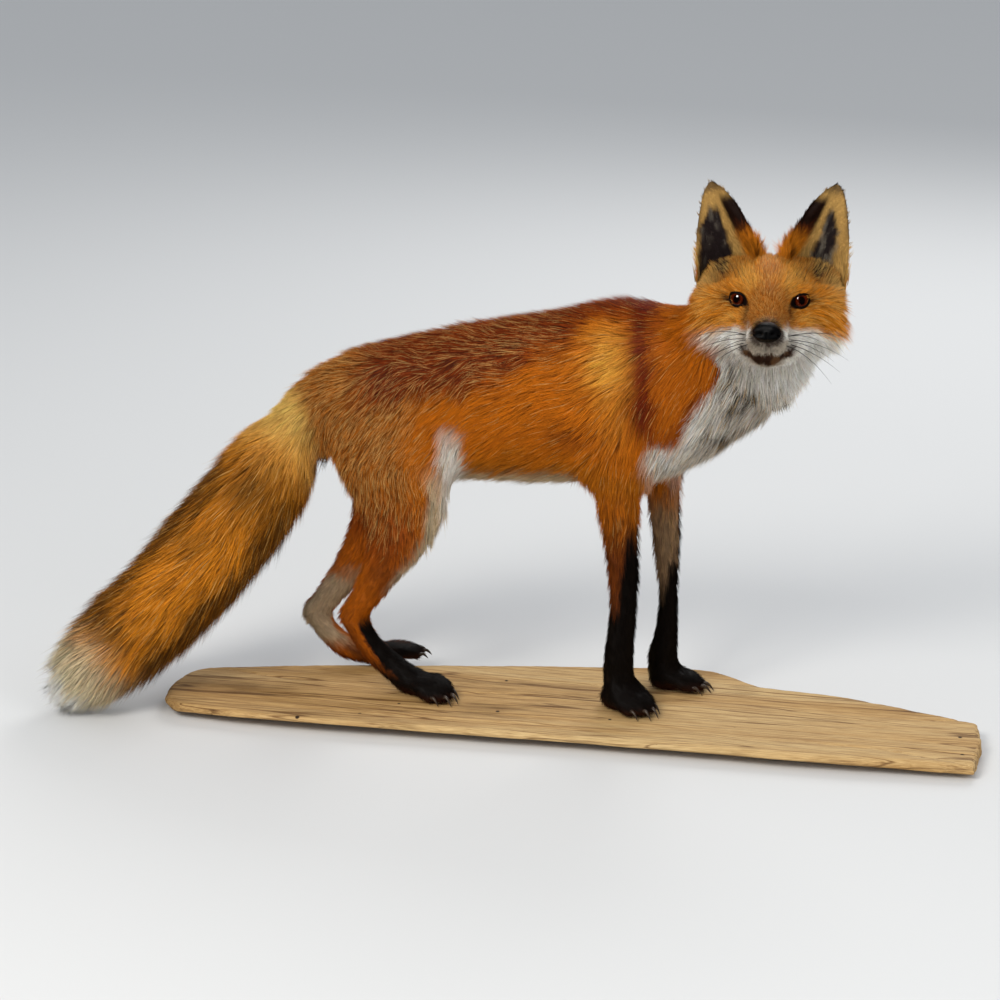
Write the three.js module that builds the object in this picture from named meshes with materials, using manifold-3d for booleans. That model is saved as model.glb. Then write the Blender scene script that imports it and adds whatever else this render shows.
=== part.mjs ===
// A life-size taxidermy red fox in its short summer coat, standing on a driftwood board with its
// head turned to the right. Millimetres, +Z up. The fox's body lies along +X, its own right
// side faces -Y, and the origin is on the underside of the board, below the middle of the fox.
// The solids reach out to the tips of the coat.
import * as THREE from "three";
import { mergeVertices } from "three/addons/utils/BufferGeometryUtils.js";
import Module from "manifold-3d";

const wasm = await Module();
wasm.setup();

// ---------------------------------------------------------------- driving dimensions
const BOARD_THICK = 16;
const BOARD_BEVEL = 3;
const BOARD_NEAR_EDGE = [[-360, -113], [-250, -124], [-60, -118], [90, -116], [250, -117], [389, -108]];
const BOARD_SAWN_END = [[393, -46], [387, -4]];
const BOARD_FAR_EDGE = [
  [312, 24], [250, 41], [180, 50], [146, 72], [108, 87], [14, 73],
  [-180, 37], [-330, 2], [-374, -17], [-386, -60], [-380, -97],
];
const NEAR_RISE = { from: -84, slope: 0.28 }; // the underside rises towards the near edge
const END_RISE = { from: -330, slope: 0.18 }; // and towards the rounded end
const CUT_GAP = 0.3; // between neighbouring solids
const SOLE = BOARD_THICK + CUT_GAP; // height of the flat soles

const BELLY = 200; // no flesh of the trunk is lower
const WITHERS = 405; // height of the shoulder, coat included
const HEAD_AT = [182, -21, 406]; // middle of the skull
const HEAD_TURN = -85; // degrees from +X: the face looks to -Y
const HEAD_LIFT = 7.6; // degrees that the face looks up

const EYE_RADIUS = 7.6;
const EYE_AT = [29.5, 27.5, 14]; // in the head's own frame, mirrored for the other eye
const NOSE_AT = [90, 0, -10];
const NOSE_RADII = [9, 12.5, 9];
const EAR_HEIGHT = 87;
const EAR_HALF_WIDTH = 31;
const EAR_THICK = 5;
const EAR_ROOT = [-12, 39, 29];
const EAR_LEAN = 12; // degrees outwards
const EAR_BACK = 4; // degrees backwards
const EAR_TURN = 28; // degrees that the opening turns outwards

const COLOUR = {
  orange: { color: 0xb8651b, roughness: 0.85, metalness: 0 },
  black: { color: 0x1b1512, roughness: 0.8, metalness: 0 },
  cream: { color: 0xcdbf9f, roughness: 0.85, metalness: 0 },
  eye: { color: 0x3a1408, roughness: 0.05, metalness: 0 },
  nose: { color: 0x0d0d10, roughness: 0.35, metalness: 0 },
  board: { color: 0xc9a566, roughness: 0.75, metalness: 0 },
};

// ---------------------------------------------------------------- fields
// A field gives a point's rough distance from a form, below 0 inside it.
const mix = (a, b, t) => a + (b - a) * t;
const dot = (a, b) => a[0] * b[0] + a[1] * b[1] + a[2] * b[2];
const minus = (a, b) => [a[0] - b[0], a[1] - b[1], a[2] - b[2]];
const smooth = (lo, hi, x) => THREE.MathUtils.smoothstep(x, lo, hi);

// The union of two distances, with a fillet about k wide.
function blend(a, b, k) {
  const h = Math.max(k - Math.abs(a - b), 0) / k;
  return Math.min(a, b) - (h * h * k) / 4;
}

const carve = (a, b, k) => -blend(-a, b, k);

// The distance of the offset x, y, z from an ellipsoid with the radii a, b, c.
function offEllipsoid(x, y, z, a, b, c) {
  const [u, v, w] = [x / a, y / b, z / c];
  const k0 = Math.sqrt(u * u + v * v + w * w);
  const k1 = Math.sqrt((u / a) ** 2 + (v / b) ** 2 + (w / c) ** 2);
  return k1 < 1e-9 ? -Math.min(a, b, c) : (k0 * (k0 - 1)) / k1;
}

const offRadii = (offset, radii) => offEllipsoid(...offset, ...radii);

const ellipsoid = (centre, radii) => (p) => offRadii(minus(p, centre), radii);

// A long rounded form through stations of [x, y, z, half width, half depth]. The width runs
// across the body, along Y where the form allows, and the depth at right angles to it.
function limb(stations, steps = 4) {
  const spline = new THREE.CatmullRomCurve3(stations.map((s) => new THREE.Vector3(...s)));
  const width = new THREE.CatmullRomCurve3(stations.map((s) => new THREE.Vector3(s[3], s[4], 0)));
  const count = (stations.length - 1) * steps;
  const rings = Array.from({ length: count + 1 }, (_, i) => ({
    at: spline.getPoint(i / count).toArray(),
    radii: width.getPoint(i / count).toArray(),
  }));
  const pieces = rings.slice(1).map((end, i) => {
    const start = rings[i];
    const axis = new THREE.Vector3(...minus(end.at, start.at));
    const length = axis.length();
    axis.normalize();
    const side = new THREE.Vector3(0, 1, 0).addScaledVector(axis, -axis.y).normalize();
    const deep = new THREE.Vector3().crossVectors(axis, side);
    return { start, end, length, axis: axis.toArray(), side: side.toArray(), deep: deep.toArray() };
  });
  return (p) => {
    let least = Infinity;
    for (const { start, end, length, axis, side, deep } of pieces) {
      const [x, y, z] = [p[0] - start.at[0], p[1] - start.at[1], p[2] - start.at[2]];
      const along = x * axis[0] + y * axis[1] + z * axis[2];
      const t = Math.min(1, Math.max(0, along / length));
      const wide = mix(start.radii[0], end.radii[0], t);
      const thick = mix(start.radii[1], end.radii[1], t);
      const across = x * side[0] + y * side[1] + z * side[2];
      const down = x * deep[0] + y * deep[1] + z * deep[2];
      const past = along - t * length;
      const far = Math.sqrt(past * past + across * across + down * down);
      if (far - Math.max(wide, thick) > least) continue;
      least = Math.min(least, offEllipsoid(past, across, down, (wide + thick) / 2, wide, thick));
    }
    return least;
  };
}

// The field of a form that is described in a frame of its own.
function placed(field, matrix) {
  const inverse = matrix.clone().invert();
  const at = new THREE.Vector3();
  return (p) => field(at.set(...p).applyMatrix4(inverse).toArray());
}

// ---------------------------------------------------------------- trunk, neck and tail
const trunkForm = limb([
  [-226, 0, 288, 38, 43],
  [-187, 0, 294, 50, 58],
  [-140, 0, 299, 49, 68],
  [-95, 0, 301, 52, 78],
  [-45, 0, 306, 57, 82],
  [5, 0, 312, 60, 86],
  [46, 0, 318, 59, WITHERS - 318],
  [80, 0, 315, 50, 76],
  [104, 0, 308, 36, 56],
]);

const neckForm = limb([
  [62, 0, 328, 50, 68],
  [104, 0, 332, 50, 68],
  [140, -3, 350, 52, 66],
  [166, -9, 372, 52, 62],
  [184, -14, 396, 44, 50],
]);

const tailForm = limb([
  [-240, 0, 300, 22, 28],
  [-262, -3, 279, 26, 28],
  [-274, -9, 256, 34, 35],
  [-290, -18, 231, 45, 46],
  [-312, -32, 197, 52, 52],
  [-342, -52, 157, 52, 52],
  [-372, -73, 120, 51, 51],
  [-406, -90, 86, 51, 50],
  [-436, -104, 58, 43, 44],
  [-457, -112, 38, 31, 35],
  [-466, -115, 28, 20, 25],
]);

// ---------------------------------------------------------------- head, in its own frame
// x runs to the nose, y to the fox's left, and z up.
const headFrame = new THREE.Matrix4()
  .makeRotationZ(THREE.MathUtils.degToRad(HEAD_TURN))
  .multiply(new THREE.Matrix4().makeRotationY(THREE.MathUtils.degToRad(-HEAD_LIFT)))
  .setPosition(...HEAD_AT);

const skull = [
  // centre, radii and the fillet to what stands before it
  [[-14, 0, 14], [46, 42, 38], 1],
  [[14, 0, 18], [34, 33, 28], 12],
  [[34, 0, 8], [30, 24, 20], 12],
  [[80, 0, -21], [8, 8, 8], 4],
];
const faceSides = [
  [[-8, 40, 6], [30, 30, 34], 16], // cheek
  [[4, 44, -14], [27, 27, 22], 14], // cheek ruff
  [[12, 20, -28], [38, 24, 21], 14], // jowl
  [[-26, 38, 27], [17, 25, 20], 12], // root of the ear
  [[27, 22, 22], [13, 12, 9], 12], // brow
  [[70, 8, -19], [17, 11, 10], 6], // upper lip
];
const muzzleForm = limb([
  [26, 0, 2, 27, 25],
  [52, 0, -6, 19, 18],
  [72, 0, -10, 15, 14],
  [88, 0, -11, 12, 11],
]);
const jawForm = limb([
  [14, 0, -33, 26, 16],
  [44, 0, -35, 18, 11],
  [62, 0, -35, 14, 9.5],
  [75, 0, -34, 11, 9],
]);

const EYE_HOLLOW = { centre: [52, 31, 9], radii: [14, 10, 9] };

function headForm(p) {
  const folded = [p[0], Math.abs(p[1]), p[2]];
  let distance = Infinity;
  for (const [centre, radii, k] of skull) distance = blend(distance, offRadii(minus(p, centre), radii), k);
  distance = blend(distance, muzzleForm(p), 10);
  distance = blend(distance, jawForm(p), 8);
  for (const [centre, radii, k] of faceSides) {
    distance = blend(distance, offRadii(minus(folded, centre), radii), k);
  }
  const socket = offRadii(minus(folded, EYE_HOLLOW.centre), EYE_HOLLOW.radii);
  return carve(distance, socket, 12);
}

// ---------------------------------------------------------------- legs
// Stations run down from the shoulder or hip to the pastern; the last one is inside the paw.
const LEGS = {
  foreleg_right: [
    [40, -34, 318, 26, 44],
    [48, -38, 268, 24, 36],
    [48, -38, 228, 19, 25],
    [51, -38, 188, 15, 20],
    [54, -37, 150, 12.5, 17],
    [54, -36, 112, 12, 14.5],
    [51, -35, 78, 14, 15],
    [50, -34, 50, 15, 15.5],
    [56, -34, 34, 16, 16],
  ],
  foreleg_left: [
    [50, 30, 318, 26, 44],
    [66, 34, 268, 22, 34],
    [78, 33, 228, 17, 23],
    [82, 32, 190, 14, 18.5],
    [84.5, 31, 152, 12, 14.5],
    [87, 30, 108, 10.5, 10.5],
    [86, 29, 74, 12, 12],
    [83, 28, 46, 14, 16],
    [86, 28, 32, 14, 15],
  ],
  hindleg_right: [
    [-194, -22, 306, 28, 46],
    [-174, -34, 264, 27, 58],
    [-158, -38, 222, 25, 52],
    [-159, -40, 188, 21, 38],
    [-169, -41, 160, 17, 27],
    [-184, -41, 131, 14, 19.5],
    [-199, -39, 106, 12.5, 15.5],
    [-206, -37, 90, 12, 14.5],
    [-197, -36, 68, 12.5, 13.5],
    [-179, -36, 48, 13, 14],
    [-158, -38, 33, 14, 14],
  ],
  hindleg_left: [
    [-204, 22, 304, 28, 44],
    [-192, 32, 264, 27, 50],
    [-190, 34, 222, 24, 42],
    [-199, 34, 180, 19, 29],
    [-213, 33, 146, 16, 22],
    [-231, 31, 114, 14, 18],
    [-251, 29, 86, 12.5, 15],
    [-262, 27, 69, 12, 13.5],
    [-250, 25, 49, 12.5, 12.5],
    [-230, 23, 35, 13, 13],
    [-210, 26, 30, 13, 12],
  ],
};
const HEELS = {
  hindleg_right: { centre: [-214, -37, 90], radii: [9, 8, 9] },
  hindleg_left: { centre: [-270, 27, 69], radii: [8, 8, 8] },
};
const legForms = Object.fromEntries(
  Object.entries(LEGS).map(([name, stations]) => {
    const leg = limb(stations);
    const heel = HEELS[name] && ellipsoid(HEELS[name].centre, HEELS[name].radii);
    return [name, heel ? (p) => blend(leg(p), heel(p), 10) : leg];
  }),
);

// ---------------------------------------------------------------- paws
// A paw points along its own x, with the ground at z = 0. Sizes are [length, half width].
const PAWS = {
  forepaw_right: { at: [58, -38], turn: -38, long: 60, half: 21, leg: "foreleg_right" },
  forepaw_left: { at: [96, 27], turn: -8, long: 54, half: 18, leg: "foreleg_left" },
  hindpaw_right: { at: [-137, -42], turn: -34, long: 64, half: 20, leg: "hindleg_right" },
  hindpaw_left: { at: [-189, 44], turn: 40, long: 60, half: 17, leg: "hindleg_left" },
};
const CLAW_LENGTH = 11;
const CLAW_RADIUS = 2.2;

// The four toes of a paw: [x of the knuckle, y, x of the tip, radius].
function toes({ long, half }) {
  return [-1, -0.34, 0.34, 1].map((side) => {
    const inner = Math.abs(side) < 0.5;
    const tip = long * (inner ? 0.44 : 0.31);
    return { y: side * half * 0.68, back: tip - 20, tip, radius: half * (inner ? 0.42 : 0.4) };
  });
}

function pawForm(paw) {
  const { long, half } = paw;
  const pad = ellipsoid([-long * 0.16, 0, 10], [long * 0.34, half * 0.86, 13]);
  const digits = toes(paw).map(({ y, back, tip, radius }) =>
    limb([
      [back, y * 0.9, radius + 6, radius, radius],
      [tip - 9, y, radius + 4, radius, radius * 1.05],
      [tip, y, radius - 0.5, radius * 0.8, radius * 0.85],
    ], 2),
  );
  return (p) => digits.reduce((d, digit) => blend(d, digit(p), 2.5), pad(p));
}

const pawFrame = ({ at, turn }) =>
  new THREE.Matrix4()
    .makeRotationZ(THREE.MathUtils.degToRad(turn))
    .setPosition(at[0], at[1], BOARD_THICK);

const pawForms = Object.fromEntries(
  Object.entries(PAWS).map(([name, paw]) => [name, placed(pawForm(paw), pawFrame(paw))]),
);

// ---------------------------------------------------------------- the flesh, part by part
// How wide the fillet is where one form runs into the next.
const FILLET = { neck: 30, head: 16, leg: 20, paw: 8, tailTop: 16, tailUnderside: 2 };

const headInBody = placed(headForm, headFrame);
const trunkAndNeck = (p) => blend(trunkForm(p), neckForm(p), FILLET.neck);
const upperBody = (p) => blend(trunkAndNeck(p), headInBody(p), FILLET.head);

function withTail(body, p) {
  const width = mix(FILLET.tailUnderside, FILLET.tailTop, smooth(255, 290, p[2]));
  return blend(body, tailForm(p), width);
}

function wholeBody(p) {
  let distance = withTail(trunkAndNeck(p), p);
  for (const leg of Object.values(legForms)) distance = blend(distance, leg(p), FILLET.leg);
  return distance;
}

function legOnTrunk(name) {
  const paw = Object.keys(PAWS).find((key) => PAWS[key].leg === name);
  return (p) => {
    const leg = blend(legForms[name](p), pawForms[paw](p), FILLET.paw);
    return p[2] < BELLY ? leg : blend(trunkAndNeck(p), leg, FILLET.leg);
  };
}

// ---------------------------------------------------------------- meshing a field
// The box in which each part is meshed, the size of its cells along x, y and z, and how far the
// mesh may leave the form.
const GRIDS = {
  trunk: { low: [-300, -110, 190], high: [190, 110, 430], cells: [18, 13, 13], tolerance: 2.8 },
  tail: { low: [-510, -190, -5], high: [-210, 70, 350], cells: [13, 13, 13], tolerance: 2.8 },
  neck: { low: [60, -110, 220], high: [270, 110, 480], cells: [13, 13, 13], tolerance: 1.8 },
  head: { low: [-100, -88, -75], high: [104, 88, 75], cells: [[9, 4.2], 6, 6], tolerance: 1.3 },
  leg: { cells: [9, 8, 11], tolerance: 2.2 },
  paw: { cells: [4.4, 4.4, 4.4], tolerance: 2.1 },
};
const SIMPLIFY_PASSES = 16;
const LEAST_FACING = 0.8; // cosine of the most that a face may turn
const LEAST_SLIMNESS = 0.1;

// Surface nets: one vertex in each cell of a grid that the surface crosses, then a few steps
// along the field's slope to bring it onto the surface.
function meshField(field, { low, high, cells, tolerance }) {
  const lines = low.map((v, axis) => gridLine(v, high[axis], [cells[axis]].flat()));
  const count = lines.map((line) => line.length);
  const [nx, ny, nz] = count;
  const index = (i, j, k) => i + nx * (j + ny * k);
  const values = new Float32Array(nx * ny * nz);
  for (let k = 0; k < nz; k++)
    for (let j = 0; j < ny; j++)
      for (let i = 0; i < nx; i++) {
        const edge = i === 0 || j === 0 || k === 0 || i === nx - 1 || j === ny - 1 || k === nz - 1;
        values[index(i, j, k)] = edge ? 1 : field([lines[0][i], lines[1][j], lines[2][k]]);
      }
  closeDiagonals(values, count);
  const corners = Array.from({ length: 8 }, (_, c) => [c & 1, (c >> 1) & 1, c >> 2]);
  const edges = corners.flatMap((a, ia) =>
    corners.map((b, ib) => [ia, ib]).filter(([x, y]) => x < y && [1, 2, 4].includes(x ^ y)),
  );
  const vertexOf = new Map();
  const points = [];
  for (let k = 0; k < nz - 1; k++)
    for (let j = 0; j < ny - 1; j++)
      for (let i = 0; i < nx - 1; i++) {
        const here = corners.map(([a, b, c]) => values[index(i + a, j + b, k + c)]);
        const crossed = edges.filter(([a, b]) => here[a] < 0 !== here[b] < 0);
        if (!crossed.length) continue;
        const sum = [0, 0, 0];
        for (const [a, b] of crossed) {
          const t = here[a] / (here[a] - here[b]);
          corners[a].forEach((v, axis) => (sum[axis] += mix(v, corners[b][axis], t)));
        }
        const at = sum.map((v, axis) => {
          const [from, to] = lines[axis].slice([i, j, k][axis]);
          return mix(from, to, v / crossed.length);
        });
        vertexOf.set(index(i, j, k), points.length);
        points.push(ontoSurface(field, at, lines[1][j + 1] - lines[1][j]));
      }
  const triangles = [];
  const strides = [1, nx, nx * ny];
  for (let k = 0; k < nz - 1; k++)
    for (let j = 0; j < ny - 1; j++)
      for (let i = 0; i < nx - 1; i++) {
        const at = index(i, j, k);
        for (let axis = 0; axis < 3; axis++) {
          const inside = values[at] < 0;
          if (inside === values[at + strides[axis]] < 0) continue;
          const u = strides[(axis + 1) % 3];
          const v = strides[(axis + 2) % 3];
          const quad = [at - u - v, at - v, at, at - u].map((cellIndex) => vertexOf.get(cellIndex));
          const [a, b, c, d] = inside ? quad : quad.reverse();
          triangles.push(a, b, c, a, c, d);
        }
      }
  return solid(points.flat(), simplify(points, triangles, tolerance));
}

// Edges of the mesh close up, the least noticeable first, until a point would leave the planes
// of the faces that it stands for by about the tolerance. Quadrics add up those planes.
function simplify(points, triangles, tolerance) {
  const faces = [];
  for (let n = 0; n < triangles.length; n += 3) faces.push(triangles.slice(n, n + 3));
  const around = points.map(() => new Set());
  const quadrics = points.map(() => new Float64Array(10));
  faces.forEach((face, n) => {
    const plane = planeOf(...face.map((v) => points[v]));
    for (const v of face) {
      around[v].add(n);
      for (let i = 0, m = 0; i < 4; i++)
        for (let j = i; j < 4; j++) quadrics[v][m++] += plane[i] * plane[j] * (i === j ? 1 : 2);
    }
  });
  const error = (u, v, [x, y, z]) => {
    const terms = [x * x, x * y, x * z, x, y * y, y * z, y, z * z, z, 1];
    return terms.reduce((sum, term, i) => sum + term * (quadrics[u][i] + quadrics[v][i]), 0);
  };
  const neighbours = (v) => new Set([...around[v]].flatMap((n) => faces[n]).filter((w) => w !== v));
  const keepsShape = (kept, moved, at) =>
    [...around[kept]].every((n) => {
      if (faces[n].includes(moved)) return true;
      const before = faces[n].map((v) => points[v]);
      const after = faces[n].map((v) => (v === kept ? at : points[v]));
      const facing = dot(planeOf(...before), planeOf(...after));
      return facing > LEAST_FACING && slimness(...after) > LEAST_SLIMNESS;
    });
  for (let pass = 1; pass <= SIMPLIFY_PASSES; pass++) {
    const limit = (tolerance * Math.min(1, (1.6 * pass) / SIMPLIFY_PASSES) ** 1.5) ** 2;
    for (let n = 0; n < faces.length; n++) {
      for (let m = 0; m < 3 && faces[n]; m++) {
        const [u, v] = [faces[n][m], faces[n][(m + 1) % 3]];
        const middle = points[u].map((x, axis) => (x + points[v][axis]) / 2);
        const choices = [points[u], points[v], middle].map((at) => ({ at, cost: error(u, v, at) }));
        const { at, cost } = choices.sort((a, b) => a.cost - b.cost)[0];
        if (cost > limit) continue;
        const [nearU, nearV] = [neighbours(u), neighbours(v)];
        if ([...nearU].filter((w) => nearV.has(w)).length !== 2) continue;
        if (!keepsShape(u, v, at) || !keepsShape(v, u, at)) continue;
        points[u] = at;
        quadrics[u] = quadrics[u].map((q, i) => q + quadrics[v][i]);
        for (const k of around[v]) {
          if (faces[k].includes(u)) {
            faces[k].forEach((w) => around[w].delete(k));
            faces[k] = null;
          } else {
            faces[k] = faces[k].map((w) => (w === v ? u : w));
            around[u].add(k);
          }
        }
      }
    }
  }
  return faces.filter(Boolean).flat();
}

function planeOf(a, b, c) {
  const normal = new THREE.Vector3(...minus(b, a)).cross(new THREE.Vector3(...minus(c, a)));
  const [x, y, z] = normal.normalize().toArray();
  return [x, y, z, -dot([x, y, z], a)];
}

// A triangle's area for its longest side: 0 for a sliver, and 0.43 for an even one.
function slimness(a, b, c) {
  const sides = [minus(b, a), minus(c, b), minus(a, c)].map((side) => dot(side, side));
  const [u, v] = [minus(b, a), minus(c, a)];
  const area = Math.sqrt(Math.max(0, dot(u, u) * dot(v, v) - dot(u, v) ** 2)) / 2;
  return area / Math.max(...sides);
}

// Where two bits of a form touch only across a diagonal of the grid, the gap is filled in, so
// that the mesh is a clean surface everywhere.
function closeDiagonals(values, [nx, ny, nz]) {
  const strides = [1, nx, nx * ny];
  const fill = (places) => {
    const open = places.filter((n) => values[n] >= 0);
    const nearest = open.sort((a, b) => values[a] - values[b])[0];
    values[nearest] = -0.05;
  };
  let changed = true;
  while (changed) {
    changed = false;
    for (let k = 0; k < nz - 1; k++)
      for (let j = 0; j < ny - 1; j++)
        for (let i = 0; i < nx - 1; i++) {
          const at = i + nx * (j + ny * k);
          for (let axis = 0; axis < 3; axis++) {
            const u = strides[(axis + 1) % 3];
            const v = strides[(axis + 2) % 3];
            const [a, b, c, d] = [at, at + u, at + u + v, at + v].map((n) => values[n] < 0);
            if (a !== c || b !== d || a === b) continue;
            fill([at, at + u, at + u + v, at + v]);
            changed = true;
          }
          const cube = [0, 1, 2, 3, 4, 5, 6, 7].map(
            (n) => at + (n & 1) * strides[0] + ((n >> 1) & 1) * strides[1] + (n >> 2) * strides[2],
          );
          const within = cube.map((n) => values[n] < 0);
          const total = within.filter(Boolean).length;
          const few = total === 2;
          const opposite = [0, 1, 2, 3].some((n) => within[n] === few && within[7 - n] === few);
          if ((total === 2 || total === 6) && opposite) {
            fill(cube);
            changed = true;
          }
        }
  }
}

// The places of the grid's planes along one axis, with a spacing that goes from first to last.
function gridLine(low, high, [first, last = first]) {
  const length = high - low;
  const count = Math.ceil((2 * length) / (first + last));
  const start = (first * count) / length;
  return Array.from({ length: count + 1 }, (_, i) => {
    const s = i / count;
    return low + length * mix(s * s, s, Math.min(start, 2));
  });
}

function ontoSurface(field, start, cell) {
  const step = cell * 0.05;
  let p = start;
  for (let n = 0; n < 3; n++) {
    const value = field(p);
    const slope = [0, 1, 2].map((axis) => {
      const near = [...p];
      near[axis] += step;
      return (field(near) - value) / step;
    });
    const size = dot(slope, slope);
    const move = THREE.MathUtils.clamp(value / Math.max(size, 0.2), -cell * 0.4, cell * 0.4);
    p = p.map((v, axis) => v - move * slope[axis]);
  }
  return p;
}

// ---------------------------------------------------------------- solids and cuts
const solid = (positions, triangles) =>
  new wasm.Manifold(
    new wasm.Mesh({
      numProp: 3,
      vertProperties: new Float32Array(positions),
      triVerts: new Uint32Array(triangles),
    }),
  );

function solidOf(geometry, matrix = new THREE.Matrix4()) {
  const bare = geometry.clone().applyMatrix4(matrix);
  bare.deleteAttribute("normal");
  bare.deleteAttribute("uv");
  const merged = mergeVertices(bare, 1e-3);
  return solid(merged.attributes.position.array, merged.index.array);
}

// A block whose face lies at a point, and which reaches away from it along a direction.
const BLOCK = 900;
function blockFrom(point, direction, margin = 0) {
  const along = new THREE.Vector3(...direction).normalize();
  const turn = new THREE.Quaternion().setFromUnitVectors(new THREE.Vector3(0, 0, 1), along);
  const centre = new THREE.Vector3(...point).addScaledVector(along, BLOCK / 2 - margin);
  const frame = new THREE.Matrix4().compose(centre, turn, new THREE.Vector3(1, 1, 1));
  return solidOf(new THREE.BoxGeometry(BLOCK, BLOCK, BLOCK), frame);
}

// What lies beyond a cut. Half of the gap is taken from each side of it.
function beyond({ at, to, before }, margin = -CUT_GAP / 2) {
  const block = blockFrom(at, to, margin);
  return before ? block.intersect(blockFrom([before, 0, 0], [-1, 0, 0], margin)) : block;
}

const notBeyond = (whole, cut) => whole.subtract(beyond(cut, CUT_GAP / 2));
const largest = (whole) => whole.decompose().sort((a, b) => b.volume() - a.volume())[0];

const GROIN = -100; // in front of here the trunk keeps the flank
const CUTS = {
  tailRoot: { at: [-250, 0, 300], to: [-0.97, 0, -0.22] },
  tailBrush: { at: [-292, -18, 240], to: [-0.42, -0.3, -0.85] },
  tailTip: { at: [-436, -102, 61], to: [-0.7, -0.3, -0.64] },
  neck: { at: [98, 0, 340], to: [0.966, 0, 0.25] },
  head: { at: [152, -10, 383], to: [0.7, -0.16, 0.7] },
  forelegs: { at: [0, 0, 221], to: [0, 0, -1] },
  hindlegRight: { at: [-180, -34, 256], to: [0, -0.6, -0.8], before: GROIN },
  hindlegLeft: { at: [-200, 34, 256], to: [0, 0.6, -0.8], before: GROIN },
  forepaws: { at: [0, 0, SOLE + 30], to: [0, 0, -1] },
  hindpawRight: { at: [-164, -37, 38], to: [0.74, -0.2, -0.64] },
  hindpawLeft: { at: [-209, 26, 29], to: [0.8, 0.5, -0.3] },
};
const ground = blockFrom([0, 0, SOLE], [0, 0, -1]);

// ---------------------------------------------------------------- the parts
const fox = new THREE.Group();

function add(name, whole, look, parent = fox) {
  const mesh = whole.getMesh();
  const geometry = new THREE.BufferGeometry();
  geometry.setAttribute("position", new THREE.BufferAttribute(mesh.vertProperties, mesh.numProp));
  geometry.setIndex(new THREE.BufferAttribute(mesh.triVerts, 1));
  const piece = new THREE.Mesh(geometry, new THREE.MeshStandardMaterial(look));
  piece.name = name;
  parent.add(piece);
}

function addTrunk() {
  let trunk = meshField(wholeBody, GRIDS.trunk);
  for (const name of ["tailRoot", "neck", "forelegs", "hindlegRight", "hindlegLeft"]) {
    trunk = notBeyond(trunk, CUTS[name]);
  }
  add("trunk", largest(trunk), COLOUR.orange);
}

function addTail() {
  const form = (p) => withTail(trunkForm(p), p);
  const tail = meshField(form, GRIDS.tail).intersect(beyond(CUTS.tailRoot));
  const floor = blockFrom([0, 0, CUT_GAP], [0, 0, -1]);
  const root = largest(notBeyond(tail, CUTS.tailBrush));
  const brushAndTip = tail.intersect(beyond(CUTS.tailBrush)).subtract(floor);
  add("tail_root", root, COLOUR.orange);
  add("tail_brush", largest(notBeyond(brushAndTip, CUTS.tailTip)), COLOUR.orange);
  add("tail_tip", largest(brushAndTip.intersect(beyond(CUTS.tailTip))), COLOUR.cream);
}

function addNeck() {
  const neck = meshField(upperBody, GRIDS.neck);
  add("neck", largest(notBeyond(neck.intersect(beyond(CUTS.neck)), CUTS.head)), COLOUR.orange);
}

function addLeg(legName, pawName, legTop, pawTop) {
  const field = legOnTrunk(legName);
  const paw = PAWS[pawName];
  const xs = LEGS[legName].map((station) => station[0]);
  const side = Math.sign(paw.at[1]);
  const low = [Math.min(...xs) - 70, side > 0 ? -12 : -120, -4];
  const high = [Math.max(...xs) + 70, side > 0 ? 120 : 12, 330];
  const ownSide = blockFrom([0, (side * CUT_GAP) / 2, 0], [0, side, 0]);
  const upper = meshField(field, { low, high, ...GRIDS.leg }).intersect(beyond(legTop));
  const leg = notBeyond(upper.intersect(ownSide), pawTop).subtract(ground);
  add(legName, largest(leg), COLOUR.orange);

  const [x, y] = paw.at;
  const pawBox = { low: [x - 50, y - 36, -4], high: [x + 50, y + 36, SOLE + 60] };
  const foot = meshField(field, { ...pawBox, ...GRIDS.paw }).intersect(beyond(pawTop));
  add(pawName, largest(withClaws(foot.subtract(ground), paw)), COLOUR.black);
}

// Each toe ends in a claw that curves down to the board.
function withClaws(paw, sizes) {
  const cone = new THREE.ConeGeometry(CLAW_RADIUS, CLAW_LENGTH, 5);
  cone.rotateZ(-Math.PI / 2);
  let made = paw;
  for (const { y, tip, radius } of toes(sizes)) {
    const droop = new THREE.Matrix4()
      .makeRotationY(THREE.MathUtils.degToRad(20))
      .setPosition(tip + radius * 0.7 + 2, y, 6.5);
    made = made.add(solidOf(cone, pawFrame(sizes).multiply(droop)));
  }
  return made;
}

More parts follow.
